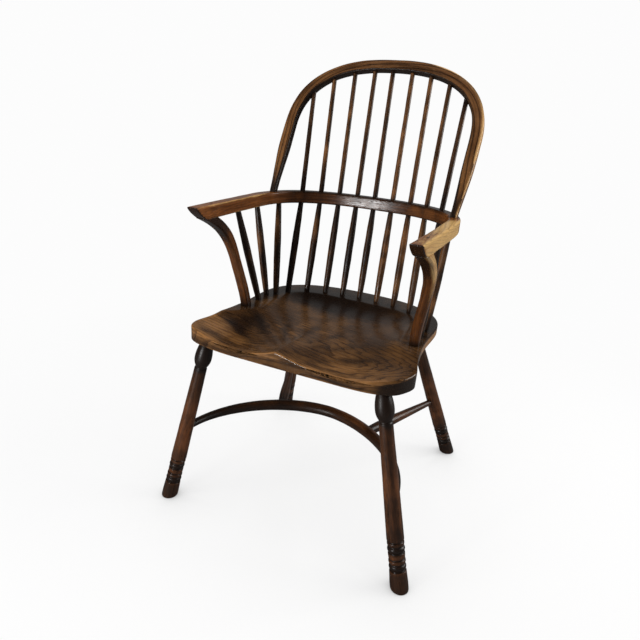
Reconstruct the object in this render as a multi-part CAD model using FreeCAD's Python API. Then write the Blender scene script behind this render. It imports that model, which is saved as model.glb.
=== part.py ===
import FreeCAD, Part

import math
import os

from FreeCAD import Vector

os.makedirs("parts", exist_ok=True)

# Double-bow Windsor armchair. Millimetres, +Z up, front towards -Y, left is -X.
# The origin lies on the floor in the middle of the four feet.

# Seat board
seat_height = 432.5
seat_thickness = 40.0
seat_front = -250.5
seat_rear = 180.0
seat_lobe_half_width = 217.0
seat_lobe_centre = 22.0
seat_lobe_power = 2.5
seat_waist_half_width = 216.0
seat_waist = -43.0
seat_left_ear_half_width = 246.0
seat_left_ear = -200.0
seat_right_ear_half_width = 237.0
seat_right_ear = -184.0
seat_front_half_width = 138.0
seat_corner_setback = 9.0
seat_side_height = 18.0
seat_undercut = 13.0
seat_undercut_start = -190.0

# Saddle carved into the seat
dish_depth = 15.0
dish_half_width = 162.0
dish_rear = 104.0
dish_centre = -6.0
dish_opening = 105.0
saddle_start = -95.0
pommel_depth = 5.0
pommel_offset = -22.0
thigh_depth = 25.5
thigh_half_spacing = 112.0
ear_depth = 9.0

# Legs: the feet on the floor and the tops under the seat
front_foot_x = 281.3
rear_foot_x = 253.0
feet_half_depth = 259.7
front_left_top_x = 200.5
front_right_top_x = 189.5
front_top_y = -220.0
rear_top_x = 148.4
rear_top_y = 117.2
foot_radius = 18.1
ankle_radius = 17.0
foot_length = 42.0
groove_radius = 14.4
groove_length = 3.0
bead_radius = 17.2
bead_length = 11.0
fillet_radius = 16.6
fillet_length = 7.0
band_radius = 16.4
band_length = 11.0
shaft_low_radius = 17.2
shaft_high_radius = 13.4
neck_radius = 12.4
neck_length = 4.0
bulb_radius = 18.5
bulb_length = 56.0
bulb_widest = 36.0
leg_top_radius = 12.0
leg_tenon_radius = 11.0
leg_tenon_length = 14.0

# Crinoline stretcher and its two spurs
crinoline_height = 181.0
crinoline_crown = -7.5
crinoline_power = 1.82
crinoline_radius = 13.2
crinoline_end_radius = 8.0
crinoline_tenon_radius = 6.4
stretcher_tenon_depth = 8.0
spur_bow_x = 112.0
spur_leg_height = 174.5
spur_shoulder_radius = 10.0
spur_radius = 11.8
spur_end_radius = 6.9
spur_tenon_radius = 5.4

# Arm bow
arm_top = 673.5
arm_thickness = 28.0
arm_width = 25.0
arm_half_width = 223.0
arm_rear = 170.0
arm_shoulder = -16.0
arm_power = 2.6
arm_tip = -240.0
arm_tip_half_width = 219.5
arm_arris = 3.5
arm_nose_length = 35.0
arm_nose_bulge = 5.0

# Arm supports, bent crooks that sweep forward under the arm tips
support_inset = 16.0
support_base_y = -71.0
support_lean = 0.217
support_bend_start = 532.5
support_sweep = 67.0
support_width = 21.0
support_head_width = 25.0
support_thickness = 19.5
support_corner = 6.0
support_tenon_radius = 7.5
support_tenon_length = 24.0
peg_radius = 3.2
peg_setback = 66.0
peg_length = 40.0

# Back hoop, flat bow leaning back from the arm bow
hoop_foot_y = 60.5
hoop_foot_half_width = 213.0
hoop_lean = 0.5487
hoop_half_width = 217.5
hoop_shoulder = 164.5
hoop_crown = 327.0
hoop_power = 2.45
hoop_width = 24.5
hoop_thickness = 18.0
hoop_foot_width = 14.5
hoop_foot_thickness = 14.0
hoop_taper_length = 120.0
hoop_arris = 3.0
hoop_tenon_radius = 6.0
wedge_length = 14.0
wedge_thickness = 2.4
wedge_tip_thickness = 0.8

# Long sticks, counted from the left: feet in the seat, then x in the arm bow and in the hoop
stick_seat = [
    (-167.4, 70.7),
    (-130.6, 101.9),
    (-88.8, 123.2),
    (-44.7, 129.8),
    (-0.5, 133.0),
    (43.3, 134.0),
    (89.4, 127.0),
    (134.5, 107.0),
    (169.5, 66.0),
]
stick_arm_x = [-170.6, -131.6, -88.2, -43.8, 0.3, 45.0, 89.4, 131.2, 171.2]
stick_hoop_x = [-183.6, -139.9, -91.7, -44.4, -2.2, 44.3, 88.6, 134.0, 177.0]
stick_foot_radius = 6.3
stick_swell_radius = 8.2
stick_arm_radius = 5.9
stick_top_radius = 5.1
stick_seat_depth = 22.0
stick_hoop_depth = 9.0

# Short sticks of each side, from the front one to the one under the hoop foot
side_stick_seat = [(197.7, -20.0), (198.5, 18.0), (184.5, 40.0)]
side_stick_arm_y = [-79.0, 0.0, 76.0]
side_stick_depth = 17.0

# Glue gap round every tenon, and how far a joined length runs on past its joint
glue_gap = 0.15
lap = 2.0

seat_underside = seat_height - seat_thickness
support_base_x = seat_waist_half_width - support_inset
arm_underside = arm_top - arm_thickness
hoop_slope = math.hypot(1.0, hoop_lean)


def ease(t):
    """Smooth step from 0 to 1."""
    t = min(max(t, 0.0), 1.0)
    return t * t * (3.0 - 2.0 * t)


def bow_point(half_width, centre, crown, power, turn):
    """Point of a half superellipse: turn 0 is the right end, 90 the crown."""
    c = math.cos(math.radians(turn))
    s = abs(math.sin(math.radians(turn)))
    x = math.copysign(half_width * abs(c) ** (2.0 / power), c)
    return x, centre + (crown - centre) * s ** (2.0 / power)


def bow_height(half_width, centre, crown, power, x):
    """Height of that half superellipse at a given x."""
    share = 1.0 - abs(x / half_width) ** power
    return centre + (crown - centre) * share ** (1.0 / power)


def bow_line(half_width, shoulder, crown, power, end_half_width, end):
    """Centre line from the right end, round the crown, to the left end."""
    right = []
    steps = 8
    for i in range(steps):
        share = 1.0 - i / steps
        x = half_width + (end_half_width - half_width) * share ** 2
        right.append((x, shoulder + (end - shoulder) * share))
    arch = [bow_point(half_width, shoulder, crown, power, 6.0 * i) for i in range(31)]
    left = [(-x, y) for x, y in reversed(right)]
    return right + arch + left


def offset_line(line, widths):
    """The line moved sideways, to its right, by a width at each point."""
    moved = []
    for i, (x, y) in enumerate(line):
        x0, y0 = line[max(i - 1, 0)]
        x1, y1 = line[min(i + 1, len(line) - 1)]
        length = math.hypot(x1 - x0, y1 - y0)
        moved.append((x + (y1 - y0) / length * widths[i], y - (x1 - x0) / length * widths[i]))
    return moved


def line_marks(line):
    """Distance along the line at each of its points."""
    marks = [0.0]
    for (x0, y0), (x1, y1) in zip(line, line[1:]):
        marks.append(marks[-1] + math.hypot(x1 - x0, y1 - y0))
    return marks


def spline(points, marks):
    """Smooth curve through the points, the marks being its parameters there."""
    curve = Part.BSplineCurve()
    curve.interpolate(Points=[Vector(*p) for p in points], Parameters=marks)
    return curve.toShape()


def flat_bow(line, widths, low, high):
    """A bent flat board: the line thickened to its widths, from low to high."""
    outer = offset_line(line, [w / 2.0 for w in widths])
    inner = offset_line(line, [-w / 2.0 for w in widths])
    marks = line_marks(line)
    outer_edge = spline([(x, y, low) for x, y in outer], marks)
    inner_edge = spline([(x, y, low) for x, y in inner], marks)
    ends = []
    for i in (0, -1):
        ends.append(Part.makeLine(Vector(*outer[i], low), Vector(*inner[i], low)))
    wire = Part.Wire(Part.__sortEdges__([outer_edge, inner_edge] + ends))
    return Part.Face(wire).extrude(Vector(0, 0, high - low))


def round_long_edges(solid, radius, least):
    """Round every edge longer than least."""
    return solid.makeFillet(radius, [e for e in solid.Edges if e.Length > least])


def turned(start, end, outline):
    """Turned piece on the line from start towards end.

    The outline lists (distance, radius) points; a (middle, point) pair is an arc.
    """
    edges = []
    last = Vector(outline[0][1], 0, outline[0][0])
    first = Vector(0, 0, outline[0][0])
    edges.append(Part.makeLine(first, last))
    for entry in outline[1:]:
        if isinstance(entry[0], tuple):
            (dm, rm), (d, r) = entry
            point = Vector(r, 0, d)
            edges.append(Part.Arc(last, Vector(rm, 0, dm), point).toShape())
        else:
            d, r = entry
            point = Vector(r, 0, d)
            edges.append(Part.makeLine(last, point))
        last = point
    final = Vector(0, 0, last.z)
    edges.append(Part.makeLine(last, final))
    edges.append(Part.makeLine(final, first))
    solid = Part.Face(Part.Wire(edges)).revolve(Vector(0, 0, 0), Vector(0, 0, 1), 360)
    turn = FreeCAD.Rotation(Vector(0, 0, 1), end - start)
    solid.Placement = FreeCAD.Placement(start, turn)
    return solid


def rod(start, end, radius):
    """Plain round rod from start to end."""
    return Part.makeCylinder(radius, (end - start).Length, start, end - start)


def along(start, end, distance):
    """Point at a distance from start towards end."""
    return start + (end - start).normalize() * distance


def at_height(start, end, z):
    """Point of the line through start and end at the height z."""
    return start + (end - start) * ((z - start.z) / (end.z - start.z))


def slab(low, high):
    """Space between two heights."""
    return Part.makeBox(1200, 1200, high - low, Vector(-600, -600, low))


def save(shape, node):
    solid = shape.Solids[0] if len(shape.Solids) == 1 else shape
    solid.exportStep("parts/" + node + ".step")


# Seat

def seat_inset(y):
    """How far the lower edge is cut in under the upper one."""
    return seat_undercut * ease((y - seat_undercut_start) / (seat_waist - seat_undercut_start))


def seat_side(ear_half_width, ear):
    """One side of the outline, from the straight front round the ear to the waist."""
    flare = ear_half_width - seat_waist_half_width
    return [
        (seat_front_half_width, seat_front),
        (ear_half_width - 48.0, seat_front + seat_corner_setback),
        (ear_half_width - 22.0, seat_front + 0.34 * (ear - seat_front)),
        (ear_half_width - 7.0, ear - 22.0),
        (ear_half_width, ear),
        (ear_half_width - 0.26 * flare, ear + 28.0),
        (seat_waist_half_width + 0.3 * flare, ear + 72.0),
        (seat_waist_half_width, seat_waist),
    ]


def seat_outline(z, undercut):
    """Closed outline of the seat at one height."""
    lobe = []
    for turn in range(0, 181, 6):
        lobe.append(bow_point(seat_lobe_half_width, seat_lobe_centre, seat_rear, seat_lobe_power, turn))
    right = seat_side(seat_right_ear_half_width, seat_right_ear)
    left = seat_side(seat_left_ear_half_width, seat_left_ear)
    line = right + lobe + [(-x, y) for x, y in reversed(left)]
    marks = line_marks(line)
    insets = [-seat_inset(y) if undercut else 0.0 for x, y in line]
    line = offset_line(line, insets)
    curve = spline([(x, y, z) for x, y in line], marks)
    front = Part.makeLine(Vector(*line[-1], z), Vector(*line[0], z))
    return Part.Wire([curve, front])


def saddle_drop(x, y):
    """Depth of the carved surface below the rim; negative outside the dish."""
    if y > dish_centre:
        across = dish_half_width
        down = (y - dish_centre) / (dish_rear - dish_centre)
    else:
        across = dish_half_width + dish_opening * ease((saddle_start + 35.0 - y) / 150.0)
        down = 0.0
    reach = abs(x / across) ** 4 + down ** 4
    limit = 3.0 * dish_depth
    bowl = dish_depth - limit * math.tanh(dish_depth * reach / limit)
    side = math.copysign(1.0, x - pommel_offset)
    hollow_width = thigh_half_spacing - side * pommel_offset
    beside = min(abs(x - pommel_offset) / hollow_width, 1.0)
    beyond = (abs(x) - thigh_half_spacing) / (seat_right_ear_half_width - thigh_half_spacing)
    front = thigh_depth - (thigh_depth - pommel_depth) * (1.0 - beside) ** 1.7
    front = front - (thigh_depth - ear_depth) * ease(beyond)
    share = ease((saddle_start - y) / (saddle_start - seat_front))
    return bowl + (front - bowl) * share


def saddle_cutter():
    """Everything above the carved surface of the seat."""
    step = 13.0
    columns = int(2 * (seat_left_ear_half_width + 20.0) / step) + 1
    rows = int((seat_rear - seat_front + 40.0) / step) + 1
    grid = []
    for i in range(columns):
        x = (i - (columns - 1) / 2.0) * step
        row = []
        for j in range(rows):
            y = seat_front - 20.0 + j * step
            row.append(Vector(x, y, seat_height - saddle_drop(x, y)))
        grid.append(row)
    surface = Part.BSplineSurface()
    surface.interpolate(grid)
    return surface.toShape().extrude(Vector(0, 0, 200))


def seat_blank():
    edge_height = seat_height - seat_side_height
    lower = seat_outline(seat_underside, True)
    middle = seat_outline(edge_height, False)
    below = Part.makeLoft([lower, middle], True, True)
    above = Part.Face(middle).extrude(Vector(0, 0, seat_side_height))
    return below.fuse(above).removeSplitter().cut(saddle_cutter())


# Legs

def leg_ends(front, side):
    """Floor point and seat-underside point of one leg's axis."""
    if front:
        top_x = front_right_top_x if side > 0 else -front_left_top_x
        foot = Vector(side * front_foot_x, -feet_half_depth, 0)
        top = Vector(top_x, front_top_y, seat_underside)
    else:
        foot = Vector(side * rear_foot_x, feet_half_depth, 0)
        top = Vector(side * rear_top_x, rear_top_y, seat_underside)
    return foot, top


def ring_outline(start):
    """One turned ring: groove, bead, groove, fillet and groove. Returns it and its end."""
    bead = start + groove_length
    second = bead + bead_length
    fillet = second + groove_length
    third = fillet + fillet_length
    end = third + groove_length
    outline = [
        (start, groove_radius),
        (bead, groove_radius),
        ((bead + bead_length / 2.0, bead_radius), (second, groove_radius)),
        (fillet, groove_radius),
        (fillet, fillet_radius),
        (third, fillet_radius),
        (third, groove_radius),
        (end, groove_radius),
    ]
    return outline, end


def leg_outline(length):
    """Turned outline from under the floor to above the seat's underside."""
    lower_ring, lower_end = ring_outline(foot_length)
    upper_start = lower_end + band_length
    upper_ring, upper_end = ring_outline(upper_start)
    neck = length - bulb_length - neck_length
    bulb = length - bulb_length
    widest = length - bulb_widest
    outline = [(-20.0, foot_radius), (foot_length / 3.0, foot_radius), (foot_length, ankle_radius)]
    outline += lower_ring
    outline += [(lower_end, band_radius), (upper_start, band_radius)]
    outline += upper_ring
    outline += [
        (upper_end, shaft_low_radius),
        (neck, shaft_high_radius),
        (neck, neck_radius),
        (bulb, neck_radius),
        ((widest - bulb_length / 5.0, bulb_radius - 2.0), (widest, bulb_radius)),
        ((widest + bulb_widest / 2.0, bulb_radius - 1.6), (length, leg_top_radius)),
        (length + 12.0, leg_top_radius),
    ]
    return outline


def shaft_radius(front, distance):
    """Radius of the plain shaft at a distance from the floor."""
    foot, top = leg_ends(front, 1)
    length = (top - foot).Length
    low = ring_outline(ring_outline(foot_length)[1] + band_length)[1]
    high = length - bulb_length - neck_length
    share = (distance - low) / (high - low)
    return shaft_low_radius + (shaft_high_radius - shaft_low_radius) * share


def leg_tenon(front, side, extra=0.0):
    foot, top = leg_ends(front, side)
    length = (top - foot).Length
    return rod(along(foot, top, length - 15.0), along(foot, top, length + leg_tenon_length + extra),
               leg_tenon_radius + extra)


def leg_blank(front, side):
    foot, top = leg_ends(front, side)
    body = turned(foot, top, leg_outline((top - foot).Length))
    body = body.common(slab(0.0, seat_underside))
    return body.fuse(leg_tenon(front, side)).removeSplitter()


def leg_point(front, side, height):
    foot, top = leg_ends(front, side)
    return at_height(foot, top, height)


# Crinoline stretcher and spurs

def crinoline_span():
    """Middle, half width and y of the bow where it meets the front legs' axes."""
    left = leg_point(True, -1, crinoline_height)
    right = leg_point(True, 1, crinoline_height)
    return (left.x + right.x) / 2.0, (right.x - left.x) / 2.0, right.y


def crinoline_centre(turn):
    middle, half_width, end_y = crinoline_span()
    x, y = bow_point(half_width, end_y, crinoline_crown, crinoline_power, turn)
    return Vector(middle + x, y, crinoline_height)


def crinoline_body(extra=0.0):
    """Round bow, thickest at the crown, lofted through circles on its line."""
    sections = []
    for i in range(25):
        turn = 4.0 + i * 172.0 / 24.0
        centre = crinoline_centre(turn)
        ahead = crinoline_centre(turn + 0.5) - crinoline_centre(turn - 0.5)
        share = math.cos(math.radians(turn)) ** 4
        radius = crinoline_radius + (crinoline_end_radius - crinoline_radius) * share + extra
        sections.append(Part.Wire([Part.makeCircle(radius, centre, ahead)]))
    return Part.makeLoft(sections, True, False)


def crinoline_tenon(side, extra=0.0):
    """Tenon from inside the bow's end to just past the leg's axis."""
    inner = crinoline_centre(90.0 - side * 82.0)
    axis = crinoline_centre(90.0 - side * 90.0)
    length = (axis - inner).Length
    return rod(inner, along(inner, axis, length + stretcher_tenon_depth + extra),
               crinoline_tenon_radius + extra)


def leg_space(front, side, height):
    """Cone of the leg's shaft round a height, with the glue gap."""
    foot, top = leg_ends(front, side)
    middle = (leg_point(front, side, height) - foot).Length
    low = middle - 45.0
    high = middle + 45.0
    return turned(foot, top, [(low, shaft_radius(front, low) + glue_gap),
                              (high, shaft_radius(front, high) + glue_gap)])


def crinoline_blank():
    body = crinoline_body()
    for side in (-1, 1):
        body = body.cut(leg_space(True, side, crinoline_height))
    body = max(body.Solids, key=lambda s: s.Volume)
    for side in (-1, 1):
        body = body.fuse(crinoline_tenon(side))
    return body.removeSplitter()


def spur_ends(side):
    """Centres of the bow and of the rear leg where one spur meets them."""
    middle, half_width, end_y = crinoline_span()
    x = side * spur_bow_x
    y = bow_height(half_width, end_y, crinoline_crown, crinoline_power, x - middle)
    bow = Vector(x, y, crinoline_height)
    return bow, leg_point(False, side, spur_leg_height)


def spur_tenons(side, extra=0.0):
    bow, leg = spur_ends(side)
    length = (leg - bow).Length
    start = along(bow, leg, -4.0 - extra)
    return rod(start, along(bow, leg, length + stretcher_tenon_depth + extra),
               spur_tenon_radius + extra)


def spur_blank(side):
    bow, leg = spur_ends(side)
    length = (leg - bow).Length
    start = crinoline_radius - 4.0
    end = length - shaft_low_radius + 4.0
    widest = start + 0.2 * (end - start)
    shoulder = 2.0 * widest - start
    body = turned(bow, leg, [(start, spur_shoulder_radius),
                             ((widest, spur_radius), (shoulder, spur_shoulder_radius + 1.0)),
                             (end, spur_end_radius)])
    body = body.cut(crinoline_body(glue_gap)).cut(leg_space(False, side, spur_leg_height))
    body = max(body.Solids, key=lambda s: s.Volume)
    return body.fuse(spur_tenons(side)).removeSplitter()


# Arm bow and its supports

arm_line = bow_line(arm_half_width, arm_shoulder, arm_rear, arm_power, arm_tip_half_width, arm_tip)


def arm_side_x(y):
    """Half width of the arm's centre line at a y on the straight side or the shoulder."""
    if y < arm_shoulder:
        share = (arm_shoulder - y) / (arm_shoulder - arm_tip)
        return arm_half_width + (arm_tip_half_width - arm_half_width) * share ** 2
    share = 1.0 - ((y - arm_shoulder) / (arm_rear - arm_shoulder)) ** arm_power
    return arm_half_width * share ** (1.0 / arm_power)


def arm_nose_cutter():
    """What is cut away below and before the rounded, slanted ends of the arms."""
    low = Vector(0, arm_tip + arm_nose_length, arm_underside)
    high = Vector(0, arm_tip, arm_top)
    middle = (low + high) * 0.5
    middle = middle + Vector(0, -0.6, -0.8) * arm_nose_bulge
    below = Vector(0, low.y, arm_underside - 20.0)
    before = Vector(0, arm_tip - 30.0, arm_underside - 20.0)
    above = Vector(0, arm_tip - 30.0, arm_top + 10.0)
    over = Vector(0, arm_tip, arm_top + 10.0)
    edges = [Part.Arc(low, middle, high).toShape()]
    corners = [high, over, above, before, below, low]
    for a, b in zip(corners, corners[1:]):
        edges.append(Part.makeLine(a, b))
    face = Part.Face(Part.Wire(edges))
    face.translate(Vector(-400, 0, 0))
    return face.extrude(Vector(800, 0, 0))


def support_axis(z):
    """Centre of an arm support at one height, for the right side, and its slope."""
    rise = arm_underside - support_bend_start
    t = max((z - support_bend_start) / rise, 0.0)
    y = support_base_y - support_lean * (z - seat_height) - support_sweep * t ** 3
    slope = support_lean + 3.0 * support_sweep * t ** 2 / rise
    head_y = support_base_y - support_lean * (arm_underside - seat_height) - support_sweep
    share = ease((z - seat_height) / (0.8 * (arm_underside - seat_height)))
    x = support_base_x + (arm_side_x(head_y) - support_base_x) * share
    return Vector(x, y, z), slope


def rounded_section(centre, width, depth):
    """Level rounded rectangle."""
    r = support_corner
    w = width / 2.0
    d = depth / 2.0
    k = r * (1.0 - math.sqrt(0.5))
    edges = []
    corners = [(1, 1), (-1, 1), (-1, -1), (1, -1)]
    for i, (a, b) in enumerate(corners):
        ends = [Vector(a * w, b * (d - r), 0), Vector(a * (w - r), b * d, 0)]
        if a * b < 0:
            ends.reverse()
        middle = Vector(a * (w - k), b * (d - k), 0)
        edges.append(Part.Arc(ends[0], middle, ends[1]).toShape())
        a2, b2 = corners[(i + 1) % 4]
        following = [Vector(a2 * w, b2 * (d - r), 0), Vector(a2 * (w - r), b2 * d, 0)]
        if a2 * b2 < 0:
            following.reverse()
        edges.append(Part.makeLine(ends[1], following[0]))
    wire = Part.Wire(edges)
    wire.translate(centre)
    return wire


def support_body(side):
    sections = []
    steps = 12
    for i in range(steps + 1):
        z = seat_height + (arm_underside - seat_height) * i / steps
        centre, slope = support_axis(z)
        centre.x *= side
        depth = support_thickness * math.hypot(1.0, slope)
        flare = ease((z - support_bend_start) / (arm_underside - support_bend_start))
        width = support_width + (support_head_width - support_width) * flare
        sections.append(rounded_section(centre, width, depth))
    return Part.makeLoft(sections, True, False)


def support_tenon(side, extra=0.0):
    base = Vector(side * support_base_x, support_base_y, seat_height)
    down = Vector(0, support_lean, -1)
    up = base - down * 6.0
    length = 6.0 * down.Length + support_tenon_length + extra
    return rod(up, along(up, base, length), support_tenon_radius + extra)


def peg_ends(side):
    y = arm_tip + peg_setback
    x = side * arm_side_x(y)
    return Vector(x, y, arm_top), Vector(x, y, arm_top - peg_length)


def peg(side, extra=0.0):
    top, bottom = peg_ends(side)
    return rod(top, bottom + Vector(0, 0, -extra), peg_radius + extra)


def support_blank(side):
    return support_body(side).fuse(support_tenon(side)).removeSplitter().cut(peg(side, glue_gap))


# Back hoop, drawn flat and then leaned back

hoop_line = bow_line(hoop_half_width, hoop_shoulder, hoop_crown, hoop_power, hoop_foot_half_width, 0.0)


def lean(shape):
    """Stand the flat hoop on the arm bow and lean it back."""
    angle = 90.0 - math.degrees(math.atan(hoop_lean))
    turn = FreeCAD.Rotation(Vector(1, 0, 0), angle)
    shape.Placement = FreeCAD.Placement(Vector(0, hoop_foot_y, arm_top), turn).multiply(shape.Placement)
    return shape


def hoop_point(u, v):
    """Point of the hoop's middle plane, v up along its slope."""
    return Vector(u, hoop_foot_y + v * hoop_lean / hoop_slope, arm_top + v / hoop_slope)


def hoop_taper(v, full, foot):
    return foot + (full - foot) * ease(v / hoop_taper_length)


def hoop_body():
    line = [(hoop_line[0][0], -20.0)] + hoop_line + [(hoop_line[-1][0], -20.0)]
    widths = [hoop_taper(v, hoop_width, hoop_foot_width) for u, v in line]
    half = hoop_thickness / 2.0
    body = round_long_edges(flat_bow(line, widths, -half, half), hoop_arris, 400.0)
    side = []
    for v in (-25.0, 0.0, hoop_taper_length / 2.0, hoop_taper_length, hoop_crown + 60.0):
        side.append((v, hoop_taper(v, hoop_thickness, hoop_foot_thickness) / 2.0))
    corners = [Vector(-400, v, w) for v, w in side] + [Vector(-400, v, -w) for v, w in reversed(side)]
    taper = Part.Face(Part.makePolygon(corners + corners[:1])).extrude(Vector(800, 0, 0))
    return lean(body.common(taper)).common(slab(arm_top, arm_top + 800.0))


def hoop_tenon(side, extra=0.0):
    """Tenon through the arm bow, flush with its underside."""
    top = hoop_point(side * hoop_foot_half_width, 16.0)
    bottom = hoop_point(side * hoop_foot_half_width, -60.0)
    return rod(top, bottom, hoop_tenon_radius + extra).common(slab(arm_underside - extra, arm_top + 14.0))


def wedge(side, extra=0.0):
    """Wedge driven up into the hoop's tenon, across the arm."""
    foot = at_height(hoop_point(side * hoop_foot_half_width, 0.0),
                     hoop_point(side * hoop_foot_half_width, -60.0), arm_underside)
    half = wedge_thickness / 2.0 + extra
    tip = wedge_tip_thickness / 2.0 + extra
    rise = wedge_length + extra
    back = rise * hoop_lean
    reach = hoop_tenon_radius * 0.9
    corners = [
        Vector(-reach, -half, 0),
        Vector(-reach, half, 0),
        Vector(-reach, tip + back, rise),
        Vector(-reach, -tip + back, rise),
    ]
    solid = Part.Face(Part.makePolygon(corners + corners[:1])).extrude(Vector(2.0 * reach, 0, 0))
    solid.translate(foot)
    return solid


def hoop_blank():
    body = hoop_body()
    for side in (-1, 1):
        body = body.fuse(hoop_tenon(side).cut(wedge(side, glue_gap)))
    return body.removeSplitter()


# Sticks

def stick_points(order):
    """Where one long stick leaves the seat, crosses the arm bow and meets the hoop."""
    foot_x, foot_y = stick_seat[order]
    arm_x = stick_arm_x[order]
    arm_y = bow_height(arm_half_width, arm_shoulder, arm_rear, arm_power, arm_x)
    u = stick_hoop_x[order]
    v = bow_height(hoop_half_width, hoop_shoulder, hoop_crown, hoop_power, u)
    arm = Vector(arm_x, arm_y, arm_top - arm_thickness / 2.0)
    return Vector(foot_x, foot_y, seat_height), arm, hoop_point(u, v)


def stick_marks(order):
    """Points of one long stick and the distances where it meets the arm bow and the hoop."""
    seat, arm, hoop = stick_points(order)
    reach = arm_thickness / 2.0 + lap
    length = (arm - seat).Length
    below = length - reach / (arm - seat).normalize().z
    above = reach / (hoop - arm).normalize().z
    soffit = (hoop - arm).Length - hoop_width / 2.0
    return seat, arm, hoop, below, above, soffit


def lofted(sections):
    """Straight lengths between round sections, each a centre, a direction and a radius."""
    wires = []
    for centre, ahead, radius in sections:
        wires.append(Part.Wire([Part.makeCircle(radius, centre, ahead)]))
    return Part.makeLoft(wires, True, True)


def stick_swell(share):
    """Radius between the seat, share 0, and the arm bow, share 1."""
    middle = (stick_foot_radius + stick_arm_radius) / 2.0
    straight = stick_foot_radius + (stick_arm_radius - stick_foot_radius) * share
    return straight + (stick_swell_radius - middle) * 4.0 * share * (1.0 - share)


def long_stick(order):
    """A stick sprung a little at the arm bow: a swelled lower and a thinner upper length."""
    seat, arm, hoop, below, above, soffit = stick_marks(order)
    low = (arm - seat).normalize()
    high = (hoop - arm).normalize()
    steps = 10
    sections = [(seat - low * stick_seat_depth, low, stick_foot_radius)]
    for i in range(steps + 1):
        share = i / steps
        distance = lap + (below - lap) * share
        sections.append((seat + low * distance, low, stick_swell(share)))
    sections.append((arm, low + high, stick_arm_radius))
    sections.append((arm + high * above, high, stick_arm_radius))
    sections.append((arm + high * (soffit - 2.0 * lap), high, stick_top_radius))
    sections.append((arm + high * (soffit + stick_hoop_depth), high, stick_top_radius))
    return lofted(sections)


def stick_bores(order):
    """Seat socket, arm hole and hoop socket of one long stick."""
    seat, arm, hoop, below, above, soffit = stick_marks(order)
    low = (arm - seat).normalize()
    high = (hoop - arm).normalize()
    socket = rod(along(seat, arm, -stick_seat_depth - glue_gap), along(seat, arm, lap),
                 stick_foot_radius + glue_gap)
    arm_bore = stick_arm_radius + glue_gap
    through = lofted([
        (seat + low * below, low, arm_bore),
        (arm, low + high, arm_bore),
        (arm + high * above, high, arm_bore),
    ])
    blind = rod(along(arm, hoop, soffit - hoop_width / 2.0),
                along(arm, hoop, soffit + stick_hoop_depth + glue_gap), stick_top_radius + glue_gap)
    return socket, through, blind


def side_marks(order, side):
    x, y = side_stick_seat[order]
    seat = Vector(side * x, y, seat_height)
    arm_y = side_stick_arm_y[order]
    arm = Vector(side * (arm_side_x(arm_y) - 3.0), arm_y, arm_underside)
    return seat, arm, (arm - seat).Length


def side_stick(order, side):
    seat, arm, length = side_marks(order, side)
    return turned(seat, arm, [
        (-stick_seat_depth, stick_foot_radius),
        (lap, stick_foot_radius),
        ((length * 0.48, stick_swell_radius), (length - lap, stick_arm_radius)),
        (length + side_stick_depth, stick_arm_radius),
    ])


def side_bores(order, side):
    """Seat socket and blind arm socket of one short stick."""
    seat, arm, length = side_marks(order, side)
    socket = rod(along(seat, arm, -stick_seat_depth - glue_gap), along(seat, arm, lap),
                 stick_foot_radius + glue_gap)
    blind = rod(along(seat, arm, length - lap), along(seat, arm, length + side_stick_depth + glue_gap),
                stick_arm_radius + glue_gap)
    return socket, blind


# Build every piece, bore the hosts and write the nodes

seat = seat_blank()
arm = round_long_edges(flat_bow(arm_line, [arm_width] * len(arm_line), arm_underside, arm_top),
                       arm_arris, 400.0)
arm = arm.cut(arm_nose_cutter())
hoop = hoop_blank()
crinoline = crinoline_blank()

sides = {"left": -1, "right": 1}

for name, side in sides.items():
    front_leg = leg_blank(True, side).cut(crinoline_tenon(side, glue_gap))
    rear_leg = leg_blank(False, side).cut(spur_tenons(side, glue_gap))
    save(front_leg, "leg_front_" + name)
    save(rear_leg, "leg_rear_" + name)
    save(spur_blank(side), "spur_stretcher_" + name)
    save(support_blank(side), "arm_support_" + name)
    save(peg(side), "arm_peg_" + name)
    save(wedge(side).common(rod(hoop_point(side * hoop_foot_half_width, 0.0),
                                hoop_point(side * hoop_foot_half_width, -60.0),
                                hoop_tenon_radius)), "hoop_wedge_" + name)
    crinoline = crinoline.cut(spur_tenons(side, glue_gap))
    seat = seat.cut(leg_tenon(True, side, glue_gap))
    seat = seat.cut(leg_tenon(False, side, glue_gap))
    seat = seat.cut(support_tenon(side, glue_gap))
    arm = arm.cut(peg(side, glue_gap))
    arm = arm.cut(hoop_tenon(side, glue_gap))
    for order in range(len(side_stick_seat)):
        socket, blind = side_bores(order, side)
        seat = seat.cut(socket)
        arm = arm.cut(blind)
        save(side_stick(order, side), "side_stick_%s_%d" % (name, order + 1))

for order in range(len(stick_seat)):
    socket, through, blind = stick_bores(order)
    seat = seat.cut(socket)
    arm = arm.cut(through)
    hoop = hoop.cut(blind)
    save(long_stick(order), "back_stick_%d" % (order + 1))

save(seat, "seat")
save(arm, "arm_bow")
save(hoop, "back_hoop")
save(crinoline, "crinoline_stretcher")
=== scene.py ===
import math

import bpy
import numpy as np
from mathutils import Matrix, Vector


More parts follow.
